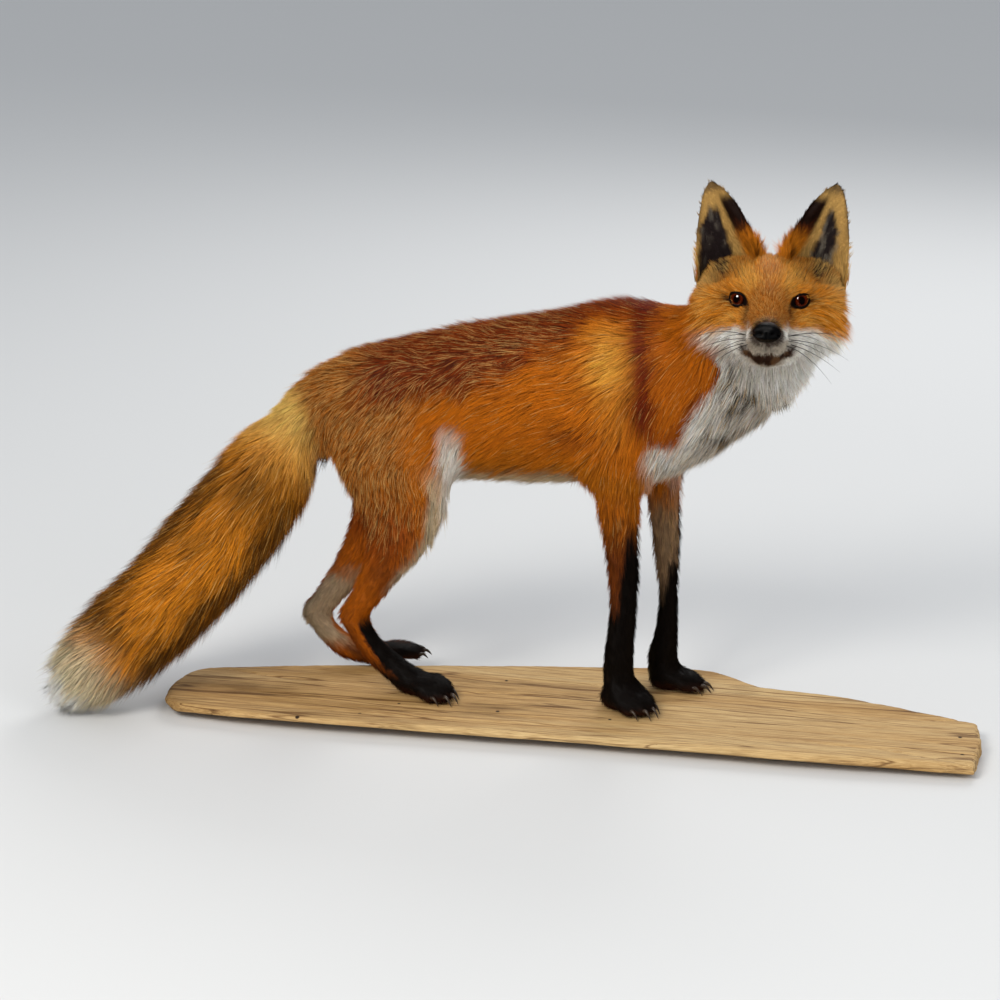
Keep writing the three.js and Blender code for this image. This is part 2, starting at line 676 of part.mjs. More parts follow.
// An ear is a cupped leaf: x is the way it opens, y is across it, and z runs up to its tip.
function earGeometry() {
  const rows = 7;
  const columns = 6;
  const points = [];
  const triangles = [];
  const rowSize = 2 * (columns + 1);
  for (let r = 0; r <= rows; r++) {
    const up = r / rows;
    const half = EAR_HALF_WIDTH * Math.cos(up * 1.48) ** 0.9;
    const opening = THREE.MathUtils.degToRad(mix(100, 38, Math.pow(up, 0.8)));
    const arc = half / Math.min(1, Math.sin(Math.min(opening, Math.PI / 2)));
    for (const layer of [0, 1]) {
      for (let c = 0; c <= columns; c++) {
        const order = layer ? columns - c : c;
        const across = (2 * order) / columns - 1;
        const angle = across * opening;
        const skin = layer * EAR_THICK * (1 - 0.75 * across ** 4) * mix(1.3, 0.6, up);
        points.push(
          -(arc + skin) * Math.cos(angle) + arc * Math.cos(Math.min(opening, Math.PI / 2)),
          (arc + skin) * Math.sin(angle),
          up * EAR_HEIGHT,
        );
      }
    }
  }
  for (let r = 0; r < rows; r++) {
    for (let n = 0; n < rowSize; n++) {
      const next = (n + 1) % rowSize;
      const [a, b] = [r * rowSize + n, r * rowSize + next];
      triangles.push(a, b, b + rowSize, a, b + rowSize, a + rowSize);
    }
  }
  for (const [first, flip] of [[0, true], [rows * rowSize, false]]) {
    for (let c = 0; c < columns; c++) {
      const [a, b] = [first + c, first + c + 1];
      const [d, e] = [first + rowSize - 2 - c, first + rowSize - 1 - c];
      const cap = [a, b, d, a, d, e];
      triangles.push(...(flip ? cap.reverse() : cap));
    }
  }
  const geometry = new THREE.BufferGeometry();
  geometry.setAttribute("position", new THREE.Float32BufferAttribute(points, 3));
  geometry.setIndex(triangles);
  return geometry;
}

function earFrame(side) {
  const turn = THREE.MathUtils.degToRad;
  const lean = new THREE.Matrix4().makeRotationX(turn(-side * EAR_LEAN));
  const back = new THREE.Matrix4().makeRotationY(turn(-EAR_BACK));
  const open = new THREE.Matrix4().makeRotationZ(turn(side * EAR_TURN));
  return lean.multiply(back).multiply(open).setPosition(EAR_ROOT[0], side * EAR_ROOT[1], EAR_ROOT[2]);
}

function addHead() {
  const head = new THREE.Group();
  headFrame.decompose(head.position, head.quaternion, head.scale);
  fox.add(head);
  const toHead = headFrame.clone().invert();
  const headField = placed(upperBody, toHead);
  const inHead = (whole) => whole.transform(toHead.toArray());

  const seat = meshField((p) => headField(p) - 2 * CUT_GAP, GRIDS.head);
  let skin = meshField(headField, GRIDS.head).intersect(inHead(beyond(CUTS.head)));
  const ball = (centre, radii) =>
    solidOf(
      new THREE.SphereGeometry(1, 12, 8),
      new THREE.Matrix4().makeScale(...radii).setPosition(...centre),
    );
  const grown = (radii) => radii.map((r) => r + CUT_GAP);

  const nose = ball(NOSE_AT, NOSE_RADII);
  skin = skin.subtract(ball(NOSE_AT, grown(NOSE_RADII)));
  add("nose", nose, COLOUR.nose, head);
  for (const [name, side] of [["left", 1], ["right", -1]]) {
    const centre = [EYE_AT[0], side * EYE_AT[1], EYE_AT[2]];
    const radii = [EYE_RADIUS, EYE_RADIUS, EYE_RADIUS];
    skin = skin.subtract(ball(centre, grown(radii)));
    add(`eye_${name}`, ball(centre, radii), COLOUR.eye, head);
  }
  add("head", largest(skin), COLOUR.orange, head);
  for (const [name, side] of [["left", 1], ["right", -1]]) {
    const ear = solidOf(earGeometry(), earFrame(side)).subtract(seat);
    add(`ear_${name}`, largest(ear), COLOUR.orange, head);
  }
}

// The board: a weathered slab, rounded at one end and sawn at the other.
function addBoard() {
  const spline = (points) => points.map(([x, y]) => new THREE.Vector2(x, y));
  const outline = new THREE.Shape();
  outline.moveTo(...BOARD_NEAR_EDGE[0]);
  outline.splineThru(spline(BOARD_NEAR_EDGE.slice(1)));
  for (const corner of BOARD_SAWN_END) outline.lineTo(...corner);
  outline.splineThru(spline([...BOARD_FAR_EDGE, BOARD_NEAR_EDGE[0]]));
  const slab = new THREE.ExtrudeGeometry(outline, {
    depth: BOARD_THICK - 2 * BOARD_BEVEL,
    bevelThickness: BOARD_BEVEL,
    bevelSize: BOARD_BEVEL,
    bevelOffset: -BOARD_BEVEL,
    bevelSegments: 1,
    curveSegments: 3,
  });
  slab.translate(0, 0, BOARD_BEVEL);
  const nearSide = blockFrom([0, NEAR_RISE.from, 0], [0, -NEAR_RISE.slope, -1]);
  const thinEnd = blockFrom([END_RISE.from, 0, 0], [-END_RISE.slope, 0, -1]);
  add("base_board", solidOf(slab).subtract(nearSide).subtract(thinEnd), COLOUR.board);
}

addBoard();
addTrunk();
addTail();
addNeck();
addHead();
addLeg("foreleg_right", "forepaw_right", CUTS.forelegs, CUTS.forepaws);
addLeg("foreleg_left", "forepaw_left", CUTS.forelegs, CUTS.forepaws);
addLeg("hindleg_right", "hindpaw_right", CUTS.hindlegRight, CUTS.hindpawRight);
addLeg("hindleg_left", "hindpaw_left", CUTS.hindlegLeft, CUTS.hindpawLeft);

export default fox;
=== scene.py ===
"""A life-size taxidermy red fox on a driftwood board.

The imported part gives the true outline, out to the tips of the coat. One skin lies inside it by
the coat's depth, and tufts of mesh fur grow from that skin along the lie of the coat. Places
and sizes are in millimetres until a mesh is made, and angles are in degrees.
"""

import math

import bmesh
import bpy
import numpy as np
from mathutils import Matrix, Vector


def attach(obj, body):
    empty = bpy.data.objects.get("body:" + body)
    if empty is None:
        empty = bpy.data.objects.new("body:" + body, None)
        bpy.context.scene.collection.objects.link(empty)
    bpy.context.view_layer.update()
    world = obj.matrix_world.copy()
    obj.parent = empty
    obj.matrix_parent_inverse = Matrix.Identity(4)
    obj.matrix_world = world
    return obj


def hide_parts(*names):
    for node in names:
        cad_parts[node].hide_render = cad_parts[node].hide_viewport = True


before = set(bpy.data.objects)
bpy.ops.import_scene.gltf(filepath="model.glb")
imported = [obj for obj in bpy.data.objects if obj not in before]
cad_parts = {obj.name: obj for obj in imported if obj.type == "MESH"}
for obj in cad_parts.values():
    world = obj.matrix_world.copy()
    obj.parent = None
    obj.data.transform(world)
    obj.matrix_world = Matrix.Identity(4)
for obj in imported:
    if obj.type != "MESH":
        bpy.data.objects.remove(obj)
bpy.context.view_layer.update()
MM = 0.001
rng = np.random.default_rng(7)

# ---- camera
LOOK_AT = (-72, 0, 204.4)
CAMERA_AZIMUTH, CAMERA_ELEVATION = 12, 17
CAMERA_DISTANCE = 2600
CAMERA_LENS, CAMERA_SENSOR = 98.28, 36


def add_camera():
    """Looks at the fox's right side from a little above, as the photograph does."""
    azimuth, elevation = math.radians(CAMERA_AZIMUTH), math.radians(CAMERA_ELEVATION)
    level = math.cos(elevation)
    back = Vector((math.sin(azimuth) * level, -math.cos(azimuth) * level, math.sin(elevation)))
    data = bpy.data.cameras.new("camera")
    data.lens = CAMERA_LENS
    data.sensor_width = CAMERA_SENSOR
    camera = new_object("camera", data)
    camera.location = (Vector(LOOK_AT) + back * CAMERA_DISTANCE) * MM
    camera.rotation_euler = aimed_along(-back)
    bpy.context.scene.camera = camera


# ---- the fox's measures
HEAD_AT = (182, -21, 406)
HEAD_TURN = -85  # from +X: the face looks to -Y
HEAD_LIFT = 7.6
HEAD = (
    Matrix.Translation(HEAD_AT)
    @ Matrix.Rotation(math.radians(HEAD_TURN), 4, "Z")
    @ Matrix.Rotation(math.radians(-HEAD_LIFT), 4, "Y")
)
HEAD_AXES = np.array(HEAD.to_3x3())

EYE_AT = np.array([28.4, 26.6, 13.0])  # in the head's frame, mirrored for the other eye
EYE_RADIUS = 8.6
EYE_LOOK = np.array([0.955, 0.29, 0.03])
EYE_SLANT = 12  # the outer corner is higher
NOSE_AT = np.array([90.0, 0.0, -10.8])
NOSE_RADII = np.array([9.0, 12.3, 8.2])
NOSE_SWELL = 0.6  # how far the leather stands over its seat
FACE_WHORL = np.array([96.0, 0, -4.0])  # the hair of the face runs away from here
# Where the lips meet, from under the nose to the corner of the mouth, in the head's frame.
MOUTH = np.array([
    [86, 0, -21], [82, 0.5, -27], [79, 5, -30], [72, 10.5, -31],
    [64, 16, -30.5], [55, 21.5, -29], [46, 27, -26],
])
EAR_HEIGHT = 87
EAR_HALF_WIDTH = 31
EAR_ROOT = np.array([-12, 39, 29])
EAR_LEAN, EAR_BACK, EAR_TURN = 12, 4, 28
CONCH_AT, CONCH_RADII, CONCH_DEPTH = (-2, 48, 37), (20, 14, 16), 17  # the dent before an ear

# Down the middle of each leg to its paw, and along the tail to its tip.
LEG_LINES = {
    "foreleg_right": [(40, -34, 318), (48, -38, 228), (54, -37, 150), (51, -35, 78), (56, -34, 34)],
    "foreleg_left": [(50, 30, 318), (78, 33, 228), (84, 31, 152), (86, 29, 74), (86, 28, 32)],
    "hindleg_right": [
        (-190, -28, 306), (-158, -38, 222), (-169, -41, 160), (-206, -37, 90), (-158, -38, 33),
    ],
    "hindleg_left": [
        (-200, 26, 304), (-190, 34, 222), (-213, 33, 146), (-262, 27, 69), (-210, 26, 30),
    ],
}
TAIL_LINE = [
    (-240, 0, 300), (-262, -3, 279), (-290, -18, 231), (-342, -52, 157),
    (-406, -90, 86), (-448, -109, 47), (-478, -122, 16),
]
PAWS = {  # place on the board, turn, length and half width
    "forepaw_right": ((58, -38), -38, 60, 21),
    "forepaw_left": ((96, 27), -8, 54, 18),
    "hindpaw_right": ((-137, -42), -34, 64, 20),
    "hindpaw_left": ((-189, 44), 40, 60, 17),
}
BOARD_TOP = 16
TAIL_SIDE = -395  # only the tail is further back, where there is no board under it


def to_head(points):
    """World places in the head's own frame: x to the nose, y to its left, z up."""
    return (points - np.array(HEAD_AT)) @ HEAD_AXES


def from_head(points):
    return points @ HEAD_AXES.T + np.array(HEAD_AT)


def fold(h):
    """Head-frame places with both sides laid on the left one."""
    return np.column_stack([h[:, 0], np.abs(h[:, 1]), h[:, 2]])


# ---- small helpers
def ease(low, high, value):
    """0 up to the first value, 1 from the second one on, and smooth between them."""
    t = np.clip((value - low) / (high - low), 0, 1)
    return t * t * (3 - 2 * t)


def bell(value, width):
    return np.exp(-((value / width) ** 2))


def mix(a, b, t):
    return a + (b - a) * t


def blend(a, b, t):
    """Mixes rows of colours or directions, each row by its own share."""
    return a + (b - a) * np.asarray(t)[..., None]


def size_of(vectors):
    return np.linalg.norm(vectors, axis=-1)


def unit(vectors):
    return vectors / np.maximum(size_of(vectors), 1e-9)[..., None]


def noise(points, cell, seed=0):
    """Smooth noise from -1 to 1, with bumps about one cell wide."""
    scaled = points / cell + seed * 7.31
    corner = np.floor(scaled)
    t = scaled - corner
    t = t * t * (3 - 2 * t)
    total = np.zeros(len(points))
    for step in np.ndindex(2, 2, 2):
        step = np.array(step)
        weight = np.prod(np.where(step, t, 1 - t), axis=1)
        angle = (corner + step) @ np.array([127.1, 311.7, 74.7]) + seed * 19.7
        total += weight * (2 * np.modf(np.abs(np.sin(angle) * 43758.5453))[0] - 1)
    return total


def near_line(points, line):
    """Each point's distance from a polyline, how far along it lies (0 to 1) and its direction."""
    line = np.asarray(line, float)
    steps = np.diff(line, axis=0)
    lengths = size_of(steps)
    passed = np.concatenate([[0], np.cumsum(lengths)])
    shares, distances = [], []
    for start, step in zip(line, steps):
        share = np.clip((points - start) @ step / (step @ step), 0, 1)
        shares.append(share)
        distances.append(size_of(points - start - share[:, None] * step))
    nearest = np.argmin(distances, axis=0)
    pick = (nearest, np.arange(len(points)))
    along = (passed[nearest] + np.array(shares)[pick] * lengths[nearest]) / passed[-1]
    return np.array(distances)[pick], along, (steps / lengths[:, None])[nearest]


def colour(hexcode):
    """A linear colour from an sRGB hex code."""
    srgb = np.array([int(hexcode[n:n + 2], 16) for n in (0, 2, 4)]) / 255
    return np.where(srgb <= 0.04045, srgb / 12.92, ((srgb + 0.055) / 1.055) ** 2.4)


def new_object(name, data):
    made = bpy.data.objects.new(name, data)
    bpy.context.scene.collection.objects.link(made)
    return made


def aimed_along(way):
    """The turn of a camera or a light that looks along a direction."""
    return way.to_track_quat("-Z", "Y").to_euler()


def read(items, name, width, kind=np.float32):
    """One property of all a mesh's items, as an array with a row for each."""
    flat = np.empty(len(items) * width, kind)
    items.foreach_get(name, flat)
    return flat.reshape(-1, width)


def write(items, name, values, kind=np.float32):
    items.foreach_set(name, np.asarray(values).astype(kind).ravel())


def mesh_of(name, points, faces):
    """A mesh from places in millimetres and an array of equal-sized faces."""
    faces = np.asarray(faces)
    mesh = bpy.data.meshes.new(name)
    mesh.vertices.add(len(points))
    mesh.loops.add(faces.size)
    mesh.polygons.add(len(faces))
    write(mesh.vertices, "co", np.asarray(points) * MM)
    write(mesh.loops, "vertex_index", faces, np.int32)
    write(mesh.polygons, "loop_start", np.arange(0, faces.size, faces.shape[1]), np.int32)
    mesh.update(calc_edges=True)
    mesh.shade_smooth()
    return mesh


def places(mesh):
    """A mesh's vertices in millimetres."""
    return read(mesh.vertices, "co", 3).astype(float) / MM


def move_to(mesh, points):
    write(mesh.vertices, "co", points * MM)
    mesh.update()


def normals(mesh):
    return read(mesh.vertex_normals, "vector", 3).astype(float)


RELAX_FACTORS = (0.5, -0.52)  # a step that shrinks, and one that grows it back


def relax(mesh, steps, weight=1):
    """Smooths a mesh without shrinking it. A weight per vertex says how much it may move."""
    edges = read(mesh.edges, "vertices", 2, np.int32)
    first, second = edges.T
    points = places(mesh)
    count = len(points)
    degree = np.maximum(np.bincount(edges.ravel(), minlength=count), 1)[:, None]
    weight = np.reshape(weight, (-1, 1))
    for factor in RELAX_FACTORS * steps:
        around = np.stack([
            np.bincount(first, points[second, axis], count)
            + np.bincount(second, points[first, axis], count)
            for axis in range(3)
        ], axis=1)
        points = points + factor * weight * (around / degree - points)
    move_to(mesh, points)


def set_colours(mesh, name, values):
    rgba = np.ones((len(values), 4))
    rgba[:, :3] = np.clip(values, 0, 1)
    write(mesh.color_attributes.new(name, "FLOAT_COLOR", "POINT").data, "color", rgba)


def grid_quads(index):
    """The quads between neighbouring rows and columns of a grid of vertex numbers."""
    corners = [index[:-1, :-1], index[1:, :-1], index[1:, 1:], index[:-1, 1:]]
    return np.stack(corners, axis=-1).reshape(-1, 4)


def capped(start, rings, end):
    """The places and triangles of a closed form, from a point over rings of points to a point."""
    count, sides = rings.shape[:2]
    index = np.arange(count * sides).reshape(count, sides)
    quads = grid_quads(np.column_stack([index, index[:, 0]]))
    faces = [quads[:, :3], quads[:, [0, 2, 3]]]
    for centre, ring in ((index.size, index[0]), (index.size + 1, index[-1, ::-1])):
        faces.append(np.column_stack([np.full(sides, centre), ring, np.roll(ring, -1)]))
    return np.concatenate([rings.reshape(-1, 3), [start, end]]), np.concatenate(faces)


def tube(path, radii, sides):
    """A closed tube along a path, with a radius for each of its places."""
    heading = unit(np.gradient(path, axis=0))
    across = unit(np.cross(heading, [0.31, 0.2, 0.93]))
    above = np.cross(across, heading)
    turn = 2 * math.pi * np.arange(sides)[:, None] / sides
    circle = np.cos(turn) * across[:, None] + np.sin(turn) * above[:, None]
    return capped(path[0], path[:, None] + radii[:, None, None] * circle, path[-1])


def ball(rows, columns):
    """A unit sphere round the x axis."""
    polar = math.pi * np.arange(1, rows)[:, None] / rows
    turn = 2 * math.pi * np.arange(columns) / columns
    ring = np.sin(polar)
    rings = np.stack([np.cos(polar) + 0 * turn, ring * np.cos(turn), ring * np.sin(turn)], axis=-1)
    return capped((1, 0, 0), rings, (-1, 0, 0))


# ---- the skin's form
FLESH = [
    "trunk", "neck", "head", "tail_root", "tail_brush", "tail_tip",
    "foreleg_right", "foreleg_left", "hindleg_right", "hindleg_left",
    "forepaw_right", "forepaw_left", "hindpaw_right", "hindpaw_left",
]
SEAM_OVERLAP = 0.45  # closes the narrow gaps between the solids
SKIN_VOXEL = 3.5


def merged_solids(nodes):
    """The named solids as one mesh, each grown a little so that neighbours overlap."""
    joined = bmesh.new()
    for node in nodes:
        piece = bmesh.new()
        piece.from_mesh(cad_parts[node].data)
        bmesh.ops.remove_doubles(piece, verts=piece.verts, dist=1e-6)
        piece.normal_update()
        for vertex in piece.verts:
            vertex.co += vertex.normal * SEAM_OVERLAP * MM
        mesh = bpy.data.meshes.new(node)
        piece.to_mesh(mesh)
        piece.free()
        joined.from_mesh(mesh)
        bpy.data.meshes.remove(mesh)
    mesh = bpy.data.meshes.new("merged")
    joined.to_mesh(mesh)
    joined.free()
    return mesh


def remeshed(mesh, voxel):
    holder = new_object("holder", mesh)
    remesh = holder.modifiers.new("remesh", "REMESH")
    remesh.mode = "VOXEL"
    remesh.voxel_size = voxel * MM
    made = bpy.data.meshes.new_from_object(
        holder.evaluated_get(bpy.context.evaluated_depsgraph_get())
    )
    bpy.data.objects.remove(holder)
    return made


def refine(mesh, chosen):
    """Splits the edges whose ends are both chosen."""
    work = bmesh.new()
    work.from_mesh(mesh)
    work.verts.ensure_lookup_table()
    edges = [e for e in work.edges if chosen[e.verts[0].index] and chosen[e.verts[1].index]]
    bmesh.ops.subdivide_edges(work, edges=edges, cuts=1, use_grid_fill=True)
    bmesh.ops.triangulate(work, faces=[f for f in work.faces if len(f.verts) > 4])
    work.to_mesh(mesh)
    work.free()


# ---- the lie of the coat
# Strokes of a brush over the right side of the trunk: from, to, reach, hair length, coat depth.
# The first list is mirrored on the left side.
BODY_STROKES = [
    ((100, 0, 405), (-40, 0, 392), 42, 19, 8),  # withers
    ((-40, 0, 392), (-200, 0, 350), 42, 18, 8),  # back
    ((-200, 0, 350), (-262, 0, 322), 32, 17, 6.5),  # croup
    ((95, -50, 372), (35, -62, 348), 36, 23, 8),  # top of the shoulder
    ((20, -62, 348), (-95, -56, 290), 40, 22, 7.5),  # ribs
    ((15, -55, 290), (-70, -48, 244), 34, 22, 7.5),  # lower ribs
    ((58, -60, 335), (46, -54, 262), 28, 19, 6.5),  # shoulder blade
    ((-125, -58, 305), (-168, -60, 225), 36, 15, 6),  # thigh
    ((-170, -50, 325), (-212, -44, 265), 34, 15, 6),  # rump
    ((-226, -22, 282), (-214, -32, 215), 26, 17, 6.5),  # buttock
    ((70, 0, 236), (-90, 0, 226), 32, 22, 8),  # belly
    ((-98, -40, 285), (-116, -34, 225), 20, 22, 8),  # groin
    ((112, -12, 305), (88, -6, 240), 30, 26, 9),  # breast
]
NECK_STROKES = [
    ((196, -62, 352), (122, -48, 284), 34, 26, 10),  # throat
    ((128, -58, 396), (140, -64, 322), 26, 27, 9),  # right side of the neck
    ((92, -56, 400), (84, -58, 320), 22, 26, 8),  # behind the neck's furrow
    ((160, 40, 400), (88, 56, 335), 36, 27, 9),  # left side of the neck
    ((190, 25, 350), (120, 30, 285), 34, 27, 10),  # left side of the throat
    ((150, 5, 432), (92, 0, 408), 34, 25, 8),  # nape
]
LEG_WEIGHT, PAW_WEIGHT, TAIL_WEIGHT, HEAD_WEIGHT = 12, 60, 14, 400  # a stroke weighs up to 1
HEAD_CUT = (np.array([152, -10, 383]), unit(np.array([0.7, -0.16, 0.7])))


def headness(points):
    """0 on the body and 1 on the head."""
    at, away = HEAD_CUT
    return ease(-12, 14, (points - at) @ away)


def leg_of(points):
    """For each point, how much it belongs to a leg, and the leg's direction there."""
    distances, _, directions = zip(*(near_line(points, line) for line in LEG_LINES.values()))
    nearest = np.argmin(distances, axis=0)
    pick = (nearest, np.arange(len(points)))
    belongs = ease(42, 26, np.array(distances)[pick]) * ease(262, 215, points[:, 2])
    return belongs, np.array(directions)[pick]


def paw_lie(points):
    """How much each point belongs to a paw, and the way that its toes point."""
    belongs = np.zeros(len(points))
    heading = np.zeros((len(points), 3))
    for (x, y), turn, length, _ in PAWS.values():
        angle = math.radians(turn)
        offset = size_of(points[:, :2] - (x, y))
        here = ease(length * 0.75, length * 0.45, offset) * ease(48, 30, points[:, 2])
        belongs = np.maximum(belongs, here)
        heading[here > 0] = (math.cos(angle), math.sin(angle), -0.35)
    return belongs, heading


def face_lie(h):
    """On the head, hair runs from the nose over the face, and down and back on the cheeks."""
    side = np.sign(h[:, 1:2] + 1e-9)
    away = unit(h - FACE_WHORL)
    cheek = ease(22, 45, np.abs(h[:, 1])) * ease(24, 0, h[:, 2])
    throat = ease(-24, -40, h[:, 2])
    forehead = ease(16, 40, h[:, 2]) * ease(60, 30, h[:, 0])
    down = np.array([-0.45, 0, -0.75]) + side * [0, 0.5, 0]
    up = np.array([-0.75, 0, 0.6]) + side * [0, 0.25, 0]
    under = np.array([-0.8, 0, -0.45])
    return unit(blend(blend(blend(away, up, forehead * 0.6), down, cheek), under, throat))


def face_coat(h):
    """Hair length and coat depth on the head."""
    wide = ease(24, 48, np.abs(h[:, 1]))
    behind = ease(66, 20, h[:, 0])
    low = ease(-22, -44, h[:, 2]) * ease(52, 30, h[:, 0])
    ruff = np.maximum(wide * ease(24, -6, h[:, 2]) * ease(45, 20, h[:, 0]), low)
    lips = ease(13, 5, near_line(fold(h), MOUTH)[0])
    length = mix(5 + 4.5 * behind + 12 * ruff, 3.4, lips)
    depth = mix(1.7 + 1.9 * behind + 4.5 * ruff, 1.0, lips)
    return length, depth


def coat_at(points):
    """The way that the coat lies, its hairs' length and its depth at places on the body."""
    folded = fold(points) * [1, -1, 1]
    mirror = np.where(points[:, 1:2] > 0, [[1, -1, 1]], [[1, 1, 1]])
    brushed = []  # weight, direction, hair length and coat depth
    for strokes, where, flip in ((BODY_STROKES, folded, mirror), (NECK_STROKES, points, 1)):
        for start, end, reach, hair, deep in strokes:
            distance, _, direction = near_line(where, [start, end])
            brushed.append((bell(distance, reach), direction * flip, hair, deep))
    leg, leg_heading = leg_of(points)
    low = ease(240, 60, points[:, 2])
    brushed.append((leg * LEG_WEIGHT, leg_heading, 15 - 8 * low, 5.2 - 3.0 * low))
    paw, paw_heading = paw_lie(points)
    brushed.append((paw * PAW_WEIGHT, paw_heading, 6.5, 1.9))
    distance, along, tail_heading = near_line(points, TAIL_LINE)
    tail = ease(66, 50, distance) * ease(-0.02, 0.1, along) * ease(-236, -262, points[:, 0])
    bushy = ease(0.0, 0.4, along)
    end = ease(0.8, 1.0, along)
    tail_length = 19 + 17 * bushy - 14 * end
    brushed.append((tail * TAIL_WEIGHT, tail_heading, tail_length, 7 + 7.5 * bushy))
    h = to_head(points)
    brushed.append((headness(points) * HEAD_WEIGHT, face_lie(h) @ HEAD_AXES.T, *face_coat(h)))
    total = sum((weight for weight, _, _, _ in brushed), 1e-6)
    heading = sum(weight[:, None] * direction for weight, direction, _, _ in brushed)
    length = sum(weight * hair for weight, _, hair, _ in brushed)
    depth = sum(weight * deep for weight, _, _, deep in brushed)
    return unit(heading), length / total, depth / total


# ---- sculpting the head
def eye_frame(side):
    """The way an eye looks, towards its outer corner, and up, in the head's frame."""
    look = unit(EYE_LOOK * [1, side, 1])
    across = unit(np.cross([0, 0, 1], look)) * side
    slant = math.radians(EYE_SLANT)
    rise = unit(np.cross(look, across)) * side
    outer = unit(across * math.cos(slant) + rise * math.sin(slant))
    up = unit(rise * math.cos(slant) - across * math.sin(slant))
    return look, outer, up


EYE_HALF_WIDTH = 70  # of the lids' opening, in degrees round the eyeball
EYE_HALF_HEIGHT = 37
UPPER_LID = 0.76  # the upper lid's height to the lower one's
ALMOND = 1.55  # 2 is an ellipse, and 1 a rhomb


def almond(angle):
    """How far the lids' edge is from the middle of the eye, in degrees, at an angle round it."""
    across = np.abs(np.cos(angle) / EYE_HALF_WIDTH) ** ALMOND
    height = np.where(np.sin(angle) > 0, UPPER_LID, 1) * EYE_HALF_HEIGHT
    upward = np.abs(np.sin(angle) / height) ** ALMOND
    return (across + upward) ** (-1 / ALMOND)


def eye_reach(h, falloff=0.0):
    """How far head-frame places are from the nearer eye: 1 on the edge of its lids."""
    reach = np.full(len(h), 99.0)
    for side in (1, -1):
        look, outer, up = eye_frame(side)
        offset = h - EYE_AT * [1, side, 1]
        near = size_of(offset) < 26
        direction = unit(offset[near])
        polar = np.degrees(np.arccos(np.clip(direction @ look, -1, 1)))
        angle = np.arctan2(direction @ up, direction @ outer)
        beyond = np.maximum(size_of(offset[near]) - EYE_RADIUS - 1.5, 0)
        reach[near] = np.minimum(reach[near], polar / almond(angle) + falloff * beyond)
    return reach


LID_PROFILE = [  # share of the opening, and height over the eyeball
    (0.9, -0.9), (0.97, -0.1), (1.0, 0.35), (1.06, 0.8), (1.16, 1.15),
    (1.3, 1.35), (1.45, 1.2), (1.62, 0.4), (1.75, -1.2),
]
LID_STEPS = 64
LID_REACH = 40  # the furthest that they run past the opening, in degrees


def lids(side):
    """The lids of one eye as a ring over the eyeball, in the head's frame."""
    look, outer, up = eye_frame(side)
    angle = 2 * math.pi * np.arange(LID_STEPS)[:, None] / LID_STEPS
    share, height = np.array(LID_PROFILE).T
    edge = almond(angle)
    polar = np.radians(np.minimum(edge * share, edge + LID_REACH))[..., None]
    sideways = np.cos(angle) * outer + np.sin(angle) * up
    direction = np.cos(polar) * look + np.sin(polar) * sideways[:, None]
    points = EYE_AT * [1, side, 1] + direction * (EYE_RADIUS + height)[:, None]
    index = np.arange(points.size // 3).reshape(points.shape[:2])
    return points.reshape(-1, 3), grid_quads(np.concatenate([index, index[:1]]))[:, ::side]


def sculpt_face(mesh):
    """Sockets for the eyes, the seat of the nose, the lips' groove and the furrows of the brow."""
    points = places(mesh)
    out = normals(mesh)
    h = to_head(points)
    folded = fold(h)
    inward = np.zeros(len(points))
    groove, along, _ = near_line(folded, MOUTH)
    inward += 2.2 * bell(groove, 1.9) * (1 - 0.5 * ease(0.9, 1, along))
    lip = bell(groove - 4, 2.5) * (groove > 1)
    inward -= 0.7 * lip * ease(30, 50, h[:, 0])
    philtrum = bell(h[:, 1], 1.3) * ease(-18, -21, h[:, 2]) * ease(70, 80, h[:, 0])
    inward += 1.2 * philtrum
    brow_furrow = bell(h[:, 1], 5) * ease(20, 30, h[:, 2]) * ease(75, 45, h[:, 0])
    inward += 1.0 * brow_furrow
    tear = size_of((folded - [47, 18, 6]) / [7, 5, 6])
    inward += 1.2 * bell(tear, 1)
    conch = size_of((folded - CONCH_AT) / CONCH_RADII)
    inward += CONCH_DEPTH * bell(conch, 1)
    nose = size_of((h - NOSE_AT) / NOSE_RADII)
    inward += 5.0 * ease(1.2, 0.98, nose)  # the leather's seat
    points -= inward[:, None] * out * headness(points)[:, None]
    h = to_head(points)
    for side in (1, -1):
        centre = EYE_AT * [1, side, 1]
        offset = h - centre
        distance = size_of(offset)
        look = eye_frame(side)[0]
        ahead = (unit(offset) @ look) > -0.1
        reach = eye_reach(h)
        depth = mix(EYE_RADIUS - 2.6, EYE_RADIUS + 0.5, ease(1.1, 1.7, reach))
        pull = ease(2.1, 1.7, reach) * ahead * ease(20, 14, distance)
        h = h + unit(offset) * ((depth - distance) * pull)[:, None]
    move_to(mesh, from_head(h))


# ---- ears
EAR_ROWS, EAR_COLUMNS = 34, 22
EAR_SKIN = 2.4


def ear_frame(side):
    """An ear's own frame in the head's one, as a turn and a place. Its z axis runs to the tip."""
    turn = (
        Matrix.Rotation(math.radians(-side * EAR_LEAN), 3, "X")
        @ Matrix.Rotation(math.radians(-EAR_BACK), 3, "Y")
        @ Matrix.Rotation(math.radians(side * EAR_TURN), 3, "Z")
    )
    return np.array(turn), EAR_ROOT * [1, side, 1]


